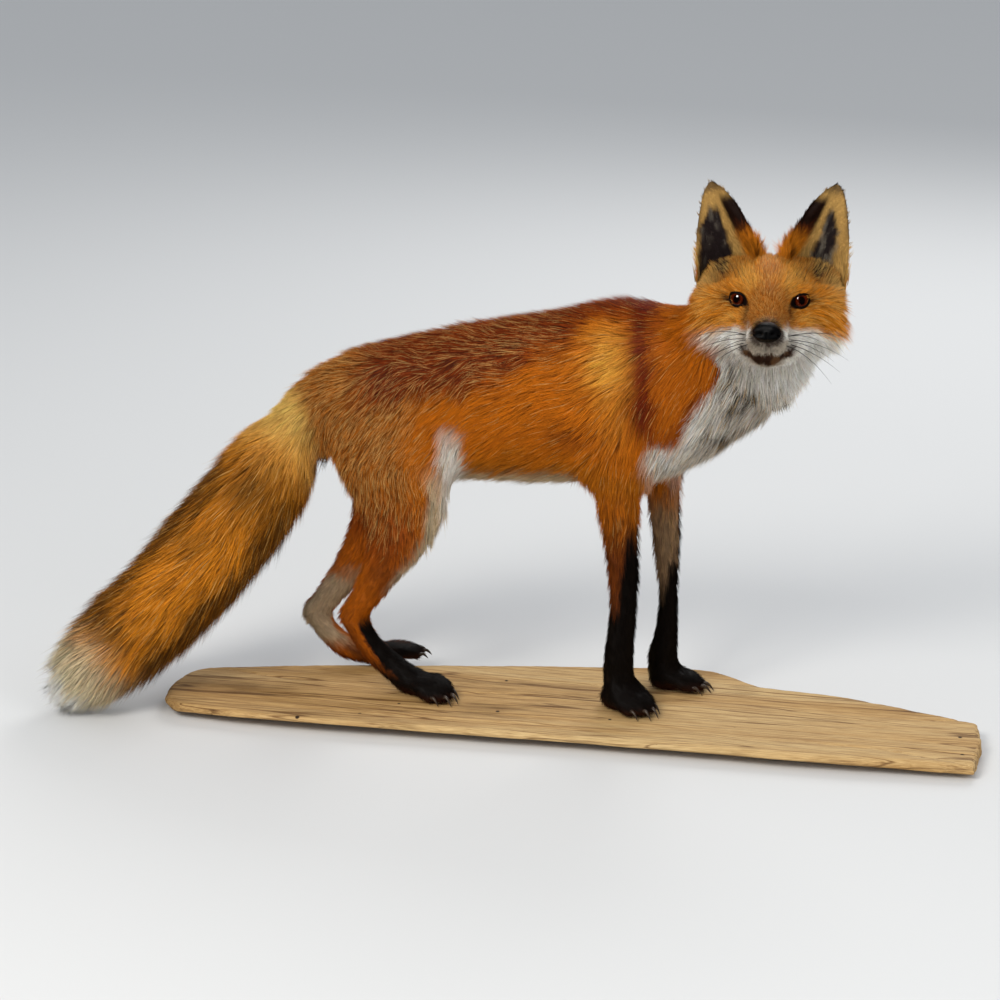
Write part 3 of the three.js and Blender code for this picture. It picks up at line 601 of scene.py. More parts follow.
def ear_point(up, across, layer):
    """A place on an ear's leaf: up 0 to 1, across -1 to 1, layer 0 inside and 1 outside."""
    round_tip = np.sqrt(np.maximum(1 - (np.maximum(up - 0.88, 0) / 0.12) ** 2, 0.01))
    half = EAR_HALF_WIDTH * np.cos(up * 1.42) ** 0.9 * round_tip
    opening = np.radians(mix(100, 38, up ** 0.8))
    arc = half / np.minimum(1, np.sin(np.minimum(opening, math.pi / 2)))
    radius = arc + layer * EAR_SKIN * (1 - 0.75 * across ** 4) * mix(1.3, 0.6, up)
    angle = across * opening
    rolled = -9 * ease(-0.45, -1.0, across) * ease(0.05, 0.3, up) * ease(1.0, 0.7, up)
    return np.stack([
        -radius * np.cos(angle) + arc * np.cos(np.minimum(opening, math.pi / 2)) + rolled,
        radius * np.sin(angle),
        up * EAR_HEIGHT,
    ], axis=-1)


def ear(side):
    """One ear in the head's frame: places, faces and, for each place, (up, across, layer)."""
    up = 1 - 1.12 * np.linspace(1, 0, EAR_ROWS + 1) ** 1.3
    across = np.linspace(-1, 1, EAR_COLUMNS + 1)
    order = [(c, 0) for c in across] + [(c, 1) for c in across[::-1]]
    local = np.array([(u, c, layer) for u in up for c, layer in order])
    points = ear_point(np.maximum(local[:, 0], 0), local[:, 1] * side, local[:, 2])
    points[:, 1] *= side
    points[:, 2] = local[:, 0] * EAR_HEIGHT
    turn, root = ear_frame(side)
    index = np.arange(len(points)).reshape(-1, len(order))
    inside, outside = np.split(index[-1], 2)
    leaf = grid_quads(np.column_stack([index, index[:, 0]]))
    rim = grid_quads(np.stack([inside, outside[::-1]]))
    local[:, 1] *= side
    return points @ turn.T + root, np.concatenate([leaf, rim])[:, [0, 3, 2, 1]], local


# ---- one skin
BODY, LID, EAR = 0, 1, 2


def grow_skin():
    """The skin's mesh, and for each vertex its kind and its place on an ear."""
    mesh = remeshed(merged_solids(FLESH + ["nose", "eye_left", "eye_right"]), SKIN_VOXEL)
    relax(mesh, 12)
    points = places(mesh)
    move_to(mesh, points - normals(mesh) * coat_at(points)[2][:, None])
    relax(mesh, 5)
    refine(mesh, headness(places(mesh)) > 0.5)
    relax(mesh, 4, headness(places(mesh)))
    h = to_head(places(mesh))
    refine(mesh, (headness(places(mesh)) > 0.9) & (h[:, 0] > 22) & (np.abs(h[:, 1]) < 46))
    points = places(mesh)
    relax(mesh, 3, ease(14, 30, to_head(points)[:, 0]) * headness(points))
    sculpt_face(mesh)
    reach = eye_reach(to_head(places(mesh)))
    relax(mesh, 2, ease(0.8, 1.2, reach) * ease(3.0, 2.2, reach))
    parts = [(mesh, BODY, np.zeros((len(points), 3)))]
    for side in (1, -1):
        points, faces = lids(side)
        parts.append((mesh_of("lid", from_head(points), faces), LID, np.zeros(points.shape)))
        points, faces, local = ear(side)
        parts.append((mesh_of("ear", from_head(points), faces), EAR, local))
    joined = bmesh.new()
    for part, _, _ in parts:
        joined.from_mesh(part)
    bmesh.ops.triangulate(joined, faces=joined.faces[:])
    joined.to_mesh(mesh)
    joined.free()
    mesh.shade_smooth()
    kinds = np.concatenate([np.full(len(local), kind) for _, kind, local in parts])
    return mesh, kinds, np.concatenate([local for _, _, local in parts])


# ---- markings
COAT = {name: colour(code) for name, code in {
    "back": "822e04", "orange": "c26607", "low_flank": "a05d0a", "gold": "f0a83e", "tick": "eeba6c",
    # the furrow's colour is painted shade, in the neck's furrow and along the throat's edge
    "face_tick": "ecb862", "hairs": "8d8474", "furrow_shade": "661604", "neck": "ba6006",
    "grizzle": "b4641a", "thigh": "a04a08", "white": "f2eadc", "grey": "4a443b", "cream": "d6c4a0",
    "tail_root": "e6b65e", "tail": "d4801a", "olive": "5c3d12", "rust": "60290a", "black": "120c09",
    "tan": "9c8362", "face": "d07a18", "brow": "e09c40", "bridge": "a05814", "muzzle": "7d6b54",
    "lip": "a89a86", "chin": "64401f", "rim": "c89c56", "tail_end": "dcc8a0", "ear_tip": "6e5638",
    # the hollow's colour is painted shade, deep in the ears' hollows
    "hollow_shade": "261d1d", "dark": "2a140a",
}.items()}
BACK_EDGE = ([-200, -108, -60, -4, 40], [302, 325, 337, 366, 398])  # x and height
FACE_WHITE_EDGE = ([12, 20, 42, 62], [-8, -10, -13, -11])  # head-frame |y| and z
LIP_LINE = ([5, 10.5, 16, 21.5, 27], [-30, -31, -30.5, -29, -26])  # head-frame |y| and z
TAIL_PATCHES = [((-289, -52, 232), 26), ((-404, -122, 112), 20), ((-334, -86, 188), 14)]


def blob(points, centre, radii):
    """1 at the centre of a patch, falling to 0 a little beyond its radii."""
    return np.exp(-np.sum(((points - np.array(centre)) / radii) ** 2, axis=1) * 1.2)


def lay(under, name, share):
    """Lays a colour of the coat over others, by its share at each place."""
    return blend(under, COAT[name], share)


def body_marks(p, n):
    """Colour on the trunk, neck, legs and tail, with the shares of pale and dark hair tips."""
    x, y, z = p.T
    wobble = noise(p, 14, 1) * 9 + noise(p, 5, 2) * 4
    c = np.tile(COAT["orange"], (len(p), 1))
    c = lay(c, "low_flank", ease(285, 235, z + wobble) * ease(-140, -60, x))
    pale = np.full(len(p), 0.03)
    dark = np.full(len(p), 0.01)

    rump = ease(-120, -165, x + wobble)
    c = lay(c, "grizzle", rump * 0.9)
    c = lay(c, "thigh", rump * ease(235, 185, z + wobble))
    pale = mix(pale, 0.27, rump * ease(150, 200, z))
    dark = mix(dark, 0.30, rump * ease(150, 200, z))

    edge = np.interp(x, *BACK_EDGE)
    back = ease(-14, 12, z - edge + wobble) * ease(-215, -175, x) * ease(86, 70, x)
    c = lay(c, "back", back * 0.92)
    pale = mix(pale, 0.16, back * ease(30, -10, x))
    dark = mix(dark, 0.30, back)
    withers = ease(20, 60, x) * ease(378, 402, z + wobble * 0.5)
    c = lay(c, "back", withers * 0.6)

    side = np.stack([x, z, np.zeros(len(p))], axis=1)
    gold = blob(side, (50, 360, 0), (22, 30, 1)) + 0.2 * blob(side, (52, 308, 0), (16, 20, 1))
    c = lay(c, "gold", np.clip(gold, 0, 1) * 0.85 * ease(20, 40, np.abs(y)))
    armpit = blob(side, (12, 292, 0), (24, 9, 1)) * ease(20, 40, np.abs(y))
    c = lay(c, "rust", armpit * 0.55)

    neck = ease(86, 98, x + wobble * 0.3) * ease(250, 285, z)
    c = lay(c, "neck", neck)
    # A dark band down the neck's furrow, between the neck and the shoulder: painted shade.
    furrow_shade = bell(x - 80 + wobble * 0.5, 12) * ease(285, 320, z)
    c = lay(c, "furrow_shade", furrow_shade * 0.95)

    turn = ease(100, 180, x)
    breast_way = np.tile([0.8, 0.0, -0.6], (len(p), 1))
    throat_way = unit(blend(breast_way, np.array([0.1, -0.78, -0.62]), turn))
    facing = np.sum(n * throat_way, axis=1) + 0.012 * wobble
    ahead = ease(70, 92, x) * ease(205, 235, z)
    # A dark line where the throat's front turns to the neck's side: painted shade.
    hem_shade = bell(facing - 0.38, 0.10) * ahead
    c = lay(c, "furrow_shade", hem_shade * 0.6)
    throat = ease(0.42, 0.5, facing) * ahead
    # Grey streaks down the throat's middle, where it faces downward: painted shade under the head and
    # neck, broken into streaks.
    streak = ease(-0.1, 0.5, noise(p * [1, 1, 0.35], 6, 3)) * ease(112, 150, x)
    middle = ease(0.58, 0.85, facing)
    throat_shade = np.clip((0.3 + 0.85 * streak) * middle, 0, 1)
    c = blend(c, blend(COAT["white"], COAT["grey"], throat_shade), throat)
    pale = mix(pale, 0.1, throat)
    dark = mix(dark, 0.2 + 0.3 * streak, throat)

    below = ease(-0.5, -0.8, n[:, 2]) * ease(262, 238, z) * ease(190, 205, z)
    c = lay(c, "cream", below * ease(-130, -100, x) * 0.8)
    groin = ease(-122, -115, x + wobble * 0.4) * ease(-84, -94, x + wobble * 0.5)
    groin = groin * ease(300, 270, z + wobble)
    c = lay(c, "white", groin * 0.85)

    c, pale, dark = leg_marks(p, n, wobble, c, pale, dark)
    return tail_marks(p, n, wobble, c, pale, dark)


def leg_marks(p, n, wobble, c, pale, dark):
    x, y, z = p.T
    front = ease(-0.35, 0.5, n[:, 0])
    inner = ease(0.15, 0.6, -n[:, 1] * np.sign(y))
    fore = ease(10, 25, x) * ease(262, 235, z)
    c = lay(c, "neck", fore * 0.7)
    c = lay(c, "rust", fore * ease(228, 172, z) * 0.85)
    c = lay(c, "tan", fore * inner * ease(230, 190, z) * 0.7)
    sock = mix(118, 196, front * (1 - 0.6 * inner))
    socks = ease(sock + 20, sock - 14, z + wobble * 0.7) * fore
    c = lay(c, "black", socks)

    hind = ease(-110, -125, x) * ease(262, 235, z) + ease(-70, -80, x) * ease(70, 60, z)
    hind = np.clip(hind, 0, 1)
    shank = hind * ease(175, 140, z)
    c = lay(c, "orange", shank * 0.55)
    hock = hind * ease(110, 80, z) * ease(0.2, -0.6, n[:, 0])
    c = lay(c, "rust", hock * 0.6)
    stripe = hind * ease(0.25, 0.6, n[:, 0]) * ease(115, 140, z)
    c = lay(c, "cream", stripe * 0.9)
    # Cream on the far hind leg's inner side, darkened to grey: painted shade between the legs.
    far_inner_shade = hind * inner * ease(5, 12, y) * ease(128, 100, z + wobble) * ease(36, 52, z)
    c = blend(c, COAT["cream"] * 0.7, far_inner_shade * 0.8)
    c = lay(c, "rust", blob(p, (-172, -50, 142), (15, 16, 26)) * 0.6)
    ahead = ease(-0.15, 0.45, n[:, 0] + 0.5 * n[:, 2])
    sock = np.where(y > 0, mix(24, 40, ahead), mix(40, 90, ahead * (1 - 0.5 * inner)))
    hind_socks = ease(sock + 14, sock - 8, z + wobble * 0.5) * hind
    c = lay(c, "black", hind_socks)
    c = lay(c, "rust", ease(30, 18, z) * np.clip(fore + hind, 0, 1) * 0.4)
    low = np.clip(socks + hind_socks + ease(190, 150, z), 0, 1)
    low = low * np.clip(fore + hind, 0, 1)
    return c, pale * (1 - low), dark * (1 - low * 0.6)


def tail_marks(p, n, wobble, c, pale, dark):
    distance, along, heading = near_line(p, TAIL_LINE)
    tail = ease(66, 50, distance) * ease(-236, -256, p[:, 0]) * ease(-0.02, 0.05, along)
    along = along + wobble * 0.002
    t = blend(np.tile(COAT["tail_root"], (len(p), 1)), COAT["tail"], ease(0.06, 0.22, along))
    for centre, reach in TAIL_PATCHES:
        t = lay(t, "olive", bell(size_of(p - centre), reach) * 0.75)
    # Olive, and more dark hair tips, along the tail's two edges as the camera sees them: painted shade
    # where the tail turns away from the camera.
    over = unit(np.cross(heading, np.tile([0.2, -1.0, 0.3], (len(p), 1))))
    rim = ease(0.45, 0.9, np.abs(np.sum(over * n, axis=1))) * ease(0.12, 0.3, along)
    t = lay(t, "olive", rim * 0.5)
    t = lay(t, "tail_end", ease(0.72, 0.86, along))
    tip = ease(0.86, 0.94, along)
    t = lay(t, "white", tip)
    shaded = rim * ease(0.85, 0.76, along)
    return (
        blend(c, t, tail),
        mix(pale, 0.05 * (1 - tip), tail),
        mix(dark, (0.04 + 0.12 * ease(0.15, 0.3, along) + 0.55 * shaded) * (1 - tip), tail),
    )


def head_marks(h):
    """Colour on the head, in its own frame, with the shares of pale and dark hair tips."""
    x, y, z = h.T
    wide = np.abs(y)
    folded = fold(h)
    wobble = noise(h, 9, 4) * 4 + noise(h, 3.5, 5) * 2
    c = np.tile(COAT["face"], (len(h), 1))
    c = lay(c, "bridge", ease(36, 58, x) * ease(25, 13, wide + wobble) * 0.9)
    c = lay(c, "bridge", blob(folded, (30, 4, 34), (12, 10, 12)) * 0.35)
    brow = blob(folded, (26, 23, 33), (18, 11, 9)) + 0.9 * blob(folded, (40, 14, 25), (10, 7, 9))
    c = lay(c, "brow", np.clip(brow, 0, 1) * 0.95)
    under_eye = blob(folded, (36, 32, -4), (11, 10, 5)) + 0.6 * blob(folded, (14, 50, 10), (14, 8, 7))
    c = lay(c, "brow", np.clip(under_eye, 0, 1) * 0.7)
    smudge = blob(folded, (50, 19, 1), (7, 5, 9)) + blob(folded, (62, 15, -6), (8, 5, 5))
    c = lay(c, "rust", np.clip(smudge, 0, 1) * 0.6)
    edge = np.interp(wide, *FACE_WHITE_EDGE)
    white = ease(edge + 4, edge - 4, z + wobble) * ease(-8, 10, x + 14)
    c = lay(c, "white", white)
    snout = ease(76, 86, x + wobble * 0.5)
    c = lay(c, "muzzle", snout * ease(-24, -12, z) * 0.55)
    c = lay(c, "lip", ease(46, 60, x) * ease(-14, -19, z) * ease(-60, -42, z) * 0.9)
    spots = blob(folded, (56, 20, -18), (9, 4.5, 5)) + 0.9 * blob(folded, (57, 20.5, -27), (8, 4.5, 3.5))
    c = lay(c, "dark", np.clip(spots * 1.4, 0, 1) * ease(-0.9, 0.1, wobble / 4) * 0.9)
    mottle = ease(0.0, 0.6, noise(h, 2.6, 8)) * ease(48, 60, x) * ease(-14, -19, z)
    c = lay(c, "grey", mottle * 0.6)
    chin = ease(46, 58, x) * ease(-37, -40, z)
    c = lay(c, "lip", chin * ease(22, 12, wide) * 0.6)
    groove = near_line(folded, MOUTH)[0]
    drop = z - np.interp(wide, *LIP_LINE) + wobble * 0.3
    thick = mix(8.5, 4, ease(5, 17, wide))
    lower_lip = ease(-thick - 2, -thick + 1, drop) * ease(2, 0, drop) * ease(25, 19, wide)
    lower_lip *= ease(40, 52, x)
    c = lay(c, "chin", lower_lip * 0.95)
    c = lay(c, "dark", lower_lip * ease(-0.6, 0.2, noise(h, 4.5, 9)) * 0.9)
    seam = ease(4.4, 2.2, groove + wobble * 0.3) * ease(27, 21, wide)
    c = lay(c, "dark", seam)
    philtrum = ease(1.6, 0.6, wide) * ease(-18, -20, z) * ease(-28, -25, z) * ease(72, 78, x)
    c = lay(c, "dark", philtrum * 0.6)
    nose = size_of((h - NOSE_AT) / NOSE_RADII)
    c = lay(c, "dark", ease(1.38, 1.15, nose) * 0.85)
    reach = eye_reach(h, 0.12)
    c = lay(c, "black", ease(1.62, 1.3, reach))
    corner = blob(folded, (44, 17.5, 7.5), (6, 4.2, 3.6)) + 0.6 * blob(folded, (48, 17, 1), (5, 3, 6))
    corner += 1.2 * blob(folded, (28, 37.5, 11.5), (6, 5.5, 3.2))
    c = lay(c, "dark", np.clip(corner * 1.2, 0, 1) * 0.9)
    # The face's colour darkened at the ear's foot: painted shade where the ear meets the head.
    ear_foot_shade = blob(folded, (-10, 30, 36), (20, 14, 14))
    c = blend(c, COAT["face"] * 0.85, ear_foot_shade * 0.6)
    ear_front = blob(folded, (-8, 56, 25), (18, 14, 16))
    c = lay(c, "rim", np.clip(ear_front * 1.3, 0, 1) * 0.85)
    # The hollow's dark runs on down the dent before the ear: painted shade.
    hollow_foot_shade = blob(folded, (-17, 44, 37), (15, 9, 12))
    c = lay(c, "hollow_shade", np.clip(hollow_foot_shade * 1.8, 0, 1) * ease(-32, -24, x))
    crown = ease(22, 36, z) * ease(30, 0, x)
    pale = 0.2 + 0.22 * crown
    dark = 0.12 + 0.15 * crown + 0.2 * snout
    return c, pale * (1 - white), dark * (1 - 0.8 * white)


def ear_marks(local, side):
    """Colour on an ear by its own place: up, across (1 is the outer edge) and layer."""
    up, across, layer = local.T
    spot = np.stack([up * 87, across * 30 + side * 50, layer * 5], axis=1)
    grain = noise(spot, 5, 6) * 0.06
    strands = noise(spot * [0.25, 1, 1], 2.2, 12)
    foot = blend(np.tile(COAT["face"], (len(up), 1)), COAT["rust"], ease(0.3, 0.5, up))
    back = blend(foot, COAT["dark"] * 0.7, ease(0.38, 0.56, up + grain))
    # The ear's hollow is near black, painted shade, with grey hairs laid over it.
    inside = np.tile(COAT["hollow_shade"], (len(up), 1))
    inside = lay(inside, "hairs", ease(0.1, 0.7, strands) * np.where(side > 0, 0.55, 0.35))
    outer_edge = np.where(side > 0, 0.64, 0.93) - 0.3 * ease(0.5, 0.75, up)
    inside = lay(inside, "rim", ease(outer_edge - 0.08, outer_edge + 0.06, across + grain))
    inside = lay(inside, "rim", ease(0.17, 0.05, across + grain))
    inside = lay(inside, "rim", ease(0.68, 0.80, up + grain * 0.5))
    edge = ease(0.86, 0.97, across) * ease(0.3, 0.6, up)
    edge = np.clip(edge + ease(0.86, 0.95, up), 0, 1)
    inside = lay(inside, "ear_tip", edge * 0.8)
    rolled = ease(-0.06, -0.28, across + grain * 0.5) * ease(0.9, 0.76, up)
    inside = blend(inside, back, rolled)
    c = blend(inside, back, ease(0.3, 0.7, layer))
    return c, np.zeros(len(up)), np.full(len(up), 0.06)


def marks(points, out, kind, local):
    """The coat's colour at places on the skin, with the shares of pale and dark hair tips."""
    body = body_marks(points, out)
    face = head_marks(to_head(points))
    head = headness(points)
    c = blend(body[0], face[0], head)
    pale = mix(body[1], face[1], head)
    dark = mix(body[2], face[2], head)
    ears = kind == EAR
    if ears.any():
        side = np.sign(to_head(points[ears])[:, 1])
        c[ears], pale[ears], dark[ears] = ear_marks(local[ears], side)
    c[kind == LID] = COAT["black"]
    return c, pale, dark


# ---- fur
HAIRS = {  # hairs in each region, and how many pieces share them
    "head": (84000, 2),
    "ears": (22000, 1),
    "neck": (44000, 1),
    "trunk": (98000, 2),
    "legs": (62000, 2),
    "tail": (62000, 2),
}
HAIRS_IN_TUFT = 6
PATCH = 0.003  # of a hair on the unwrapped skin
HAIR_FOOT = (  # a needle's three corners at its root: across, outward, and place in its patch
    (0.5, -0.12, 0.5, -0.5), (0, 0.28, 0, -0.62), (-0.5, -0.12, -0.5, -0.5),
)
HAIR_FACES = np.array([[0, 1, 2], [1, 0, 3], [2, 1, 3], [0, 2, 3]])
ROOT_DEPTH = 0.4  # how far a root is under the skin
# Painted shade at the hairs' roots and painted light at their tips, for the depth of the coat.
PAINTED_ROOT_SHADE, PAINTED_TIP_LIGHT = 0.5, 1.18
PAINTED_SKIN_SHADE = 0.6  # painted shade: the skin is darker than the hair, for the shade deep in the coat between the hairs
TIP_DRAW = 0.45  # how much of the way to the tuft's middle a tip leans
HIGHEST = 1.25  # the highest that a hair's tip stands, in depths of the coat
STRAY_SHARE, STRAY_LENGTH, STRAY_RISE = 0.05, 1.22, 1.5


class Skin:
    """The skin's triangles, with what the fur needs to know at each corner."""

    def __init__(self, mesh, kinds, local):
        self.corners = read(mesh.polygons, "vertices", 3, np.int32)
        self.points = places(mesh)
        self.out = normals(mesh)
        self.uv = read(mesh.uv_layers["OFBake"].data, "uv", 2).reshape(-1, 3, 2)
        self.local = local
        a, b, c = self.points[self.corners.T]
        self.area = size_of(np.cross(b - a, c - a)) / 2
        self.middle = (a + b + c) / 3
        self.kind = kinds[self.corners[:, 0]]
        self.region = self.regions()
        self.heading, self.length, self.depth = coat_at(self.middle)

    def regions(self):
        p = self.middle
        region = np.full(len(p), "trunk", dtype="<U6")
        region[p[:, 0] > 76] = "neck"
        on_leg = (p[:, 2] < 236) & (p[:, 0] > -245) | (p[:, 2] < 165)
        region[on_leg & (leg_of(p)[0] + paw_lie(p)[0] > 0.35)] = "legs"
        distance, along, _ = near_line(p, TAIL_LINE)
        region[(distance < 52) & (p[:, 0] < -252) & (along > 0.02) & (region != "legs")] = "tail"
        region[headness(p) > 0.5] = "head"
        region[self.kind == EAR] = "ears"
        return region

    def bare(self):
        """No hair grows on the lids, the nose, the lips' edge and inside the ears' feet."""
        h = to_head(self.middle)
        nose = size_of((h - NOSE_AT) / (NOSE_RADII + NOSE_SWELL))
        lips = near_line(fold(h), MOUTH)[0]
        buried = (self.kind == EAR) & (self.local[self.corners[:, 0], 0] < -0.02)
        return (self.kind == LID) | (eye_reach(h, 0.05) < 1.42) | (nose < 1) | (lips < 1.7) | buried

    def scatter(self, chosen, count, weight):
        """Random places on the chosen triangles, with what the skin is like there."""
        share = np.where(chosen, self.area * weight, 0)
        picked = np.searchsorted(np.cumsum(share) / share.sum(), rng.random(count))
        u, v = rng.random((2, count))
        over = u + v > 1
        u[over], v[over] = 1 - u[over], 1 - v[over]
        weights = np.stack([1 - u - v, u, v], axis=1)
        corners = self.corners[picked]

        def between(values):
            return np.einsum("nk,nkd->nd", weights, values)

        return {
            "at": between(self.points[corners]),
            "out": unit(between(self.out[corners])),
            "uv": between(self.uv[picked]),
            "local": between(self.local[corners]),
            "kind": self.kind[picked],
            "heading": self.heading[picked],
            "length": self.length[picked],
            "depth": self.depth[picked],
        }


def ear_lie(local, points):
    """Hair on an ear runs to its tip and out to its edges."""
    side = np.sign(to_head(points)[:, 1])
    left, right = (ear_frame(s)[0] for s in (1, -1))
    upward = np.where(side[:, None] > 0, left[:, 2], right[:, 2])
    sideways = np.where(side[:, None] > 0, left[:, 1], right[:, 1])
    inner_reach = 1.2 * ease(0.7, 0.2, local[:, 0])
    outer_reach = 0.5 * ease(-0.1, 0.5, local[:, 0])
    across = local[:, 1] * side * np.where(local[:, 1] < 0, inner_reach, outer_reach)
    return unit((upward + sideways * across[:, None]) @ HEAD_AXES.T)


def ear_coat(local):
    """Velvet on the ears' backs and tips, and longer hair round the foot of the hollow."""
    up, across, layer = local.T
    inside = 1 - layer
    foot = ease(0.35, 0.0, up)
    fringe = inside * ease(0.3, -0.1, across) * ease(0.7, 0.3, up)
    outer = inside * ease(0.6, 0.9, across) * ease(0.45, 0.15, up)
    medial = ease(-0.1, -0.7, across) * ease(0.62, 0.15, up)
    length = 3.4 + 3 * fringe + 6 * outer + 7 * foot + 9 * medial
    depth = 0.8 + 1.0 * fringe + 1.2 * outer + 2.2 * foot + 4 * medial
    return length, depth


def hairs_of(skin, region, count):
    """The hairs of one region, a tuft at a time, as arrays with a row for each hair."""
    chosen = (skin.region == region) & ~skin.bare()
    thinning = 1 / (skin.length * hair_width(skin.length))
    tufts = skin.scatter(chosen, count // HAIRS_IN_TUFT, thinning)
    at, out = tufts["at"], tufts["out"]
    if region == "ears":
        tufts["heading"] = ear_lie(tufts["local"], at)
        tufts["length"], tufts["depth"] = ear_coat(tufts["local"])
    swirl = [noise(at, 22, 10 + n) * 0.30 + noise(at, 7, 20 + n) * 0.22 for n in range(3)]
    curly = ease(0, -120, at[:, 0]) * ease(300, 340, at[:, 2]) * (at[:, 0] > -250)
    heading = tufts["heading"] + np.stack(swirl, axis=1) * (1 + 1.2 * curly[:, None])
    size = 0.82 + 0.36 * rng.random(len(at))
    tufts.update(
        heading=unit(heading - out * np.sum(heading * out, axis=1, keepdims=True)),
        length=tufts["length"] * size,
        depth=tufts["depth"] * size,
        light=0.74 + 0.52 * rng.random(len(at)),
    )
    return spread({name: np.repeat(rows, HAIRS_IN_TUFT, axis=0) for name, rows in tufts.items()})


def hair_width(length):
    return 0.3 + 0.02 * length


def spread(hairs):
    """Sets the hairs of each tuft side by side, with tips that draw together."""
    count = len(hairs["at"])
    out, heading, length = hairs["out"], hairs["heading"], hairs["length"]
    side = unit(np.cross(heading, out))
    reach = 0.9 + 0.085 * length
    offset = rng.normal(0, 0.6, (count, 2)) * reach[:, None]
    root = hairs["at"] + side * offset[:, :1] + heading * offset[:, 1:] - out * ROOT_DEPTH
    stray = rng.random(count) < STRAY_SHARE
    length = length * (0.86 + 0.28 * rng.random(count)) * np.where(stray, STRAY_LENGTH, 1)
    rise = np.clip(hairs["depth"] / hairs["length"], 0.05, 0.8)
    rise = rise * (0.72 + 0.5 * rng.random(count)) * np.where(stray, STRAY_RISE, 1)
    rise = np.minimum(rise, HIGHEST * hairs["depth"] / length)
    draw = -TIP_DRAW * offset[:, :1] / np.maximum(length, 1)[:, None]
    ways = heading + side * (draw + rng.normal(0, 0.07, (count, 1)))
    hairs.update(root=root, length=length, rise=rise, way=unit(ways), side=side)
    return hairs


def paint(hairs, tick):
    """Each hair's colour at its root and its tip. Tick is the colour of the pale tips."""
    c, pale, dark = marks(hairs["at"], hairs["out"], hairs["kind"], hairs["local"])
    count = len(c)
    chance = rng.random(count)
    light = (hairs["light"] * (0.86 + 0.28 * rng.random(count)))[:, None]
    warm = 1 + rng.normal(0, 0.03, (count, 3))
    c = c * light * warm
    # Lighter tips: painted light on the outside of the coat.
    tip = c * PAINTED_TIP_LIGHT
    is_pale = chance < pale
    is_dark = (chance > 1 - dark) & ~is_pale
    tip[is_pale] = mix(tip[is_pale], tick, 0.85)
    tip[is_dark] = mix(tip[is_dark], COAT["black"], 0.82)
    # Darker roots: painted shade deep in the coat.
    root = c * PAINTED_ROOT_SHADE
    root[is_dark] *= 0.8
    return root, tip


def hair_mesh(name, hairs, tick):
    """Closed three-sided needles as one mesh."""
    root_colour, tip_colour = paint(hairs, tick)
    root, out, way, side = (hairs[key] for key in ("root", "out", "way", "side"))
    count = len(root)
    length, rise = hairs["length"][:, None], hairs["rise"][:, None]
    width = hair_width(length) * (0.8 + 0.4 * rng.random((count, 1)))
    points, shading, uv = [], [], []
    for across, above, u, v in HAIR_FOOT:
        points.append(root + (side * across + out * above) * width)
        shading.append(unit(out + side * across * 1.1 + way * 0.15))
        uv.append(hairs["uv"] + [u * PATCH, v * PATCH])
    points.append(root + unit(way + out * rise) * length)
    shading.append(unit(out + way * 0.25))
    uv.append(hairs["uv"] + [0, 0.5 * PATCH])
    points = np.stack(points, axis=1).reshape(-1, 3)
    ground = np.where(points[:, 0] < TAIL_SIDE, 0.5, BOARD_TOP + 0.2)
    points[:, 2] = np.maximum(points[:, 2], ground)
    faces = (HAIR_FACES + 4 * np.arange(count)[:, None, None]).reshape(-1, 3)
    mesh = mesh_of(name, points, faces)
    shades = np.stack([root_colour] * 3 + [tip_colour], axis=1)
    set_colours(mesh, "coat", shades.reshape(-1, 3))
    lit = mesh.attributes.new("custom_normal", "FLOAT_VECTOR", "POINT")
    write(lit.data, "vector", np.stack(shading, axis=1))
    patches = np.stack(uv, axis=1).reshape(-1, 2)
    write(mesh.uv_layers.new(name="OFBake").data, "uv", patches[faces.ravel()])
    return mesh


def unwrap(mesh):
    """Lays the skin out flat, in pieces that don't overlap."""
    holder = new_object("unwrap", mesh)
    mesh.uv_layers.new(name="OFBake")
    bpy.context.view_layer.objects.active = holder
    holder.select_set(True)
    bpy.ops.object.mode_set(mode="EDIT")
    bpy.ops.mesh.select_all(action="SELECT")
    bpy.ops.uv.smart_project(angle_limit=math.radians(66), island_margin=0.004)
    bpy.ops.object.mode_set(mode="OBJECT")
    bpy.data.objects.remove(holder)


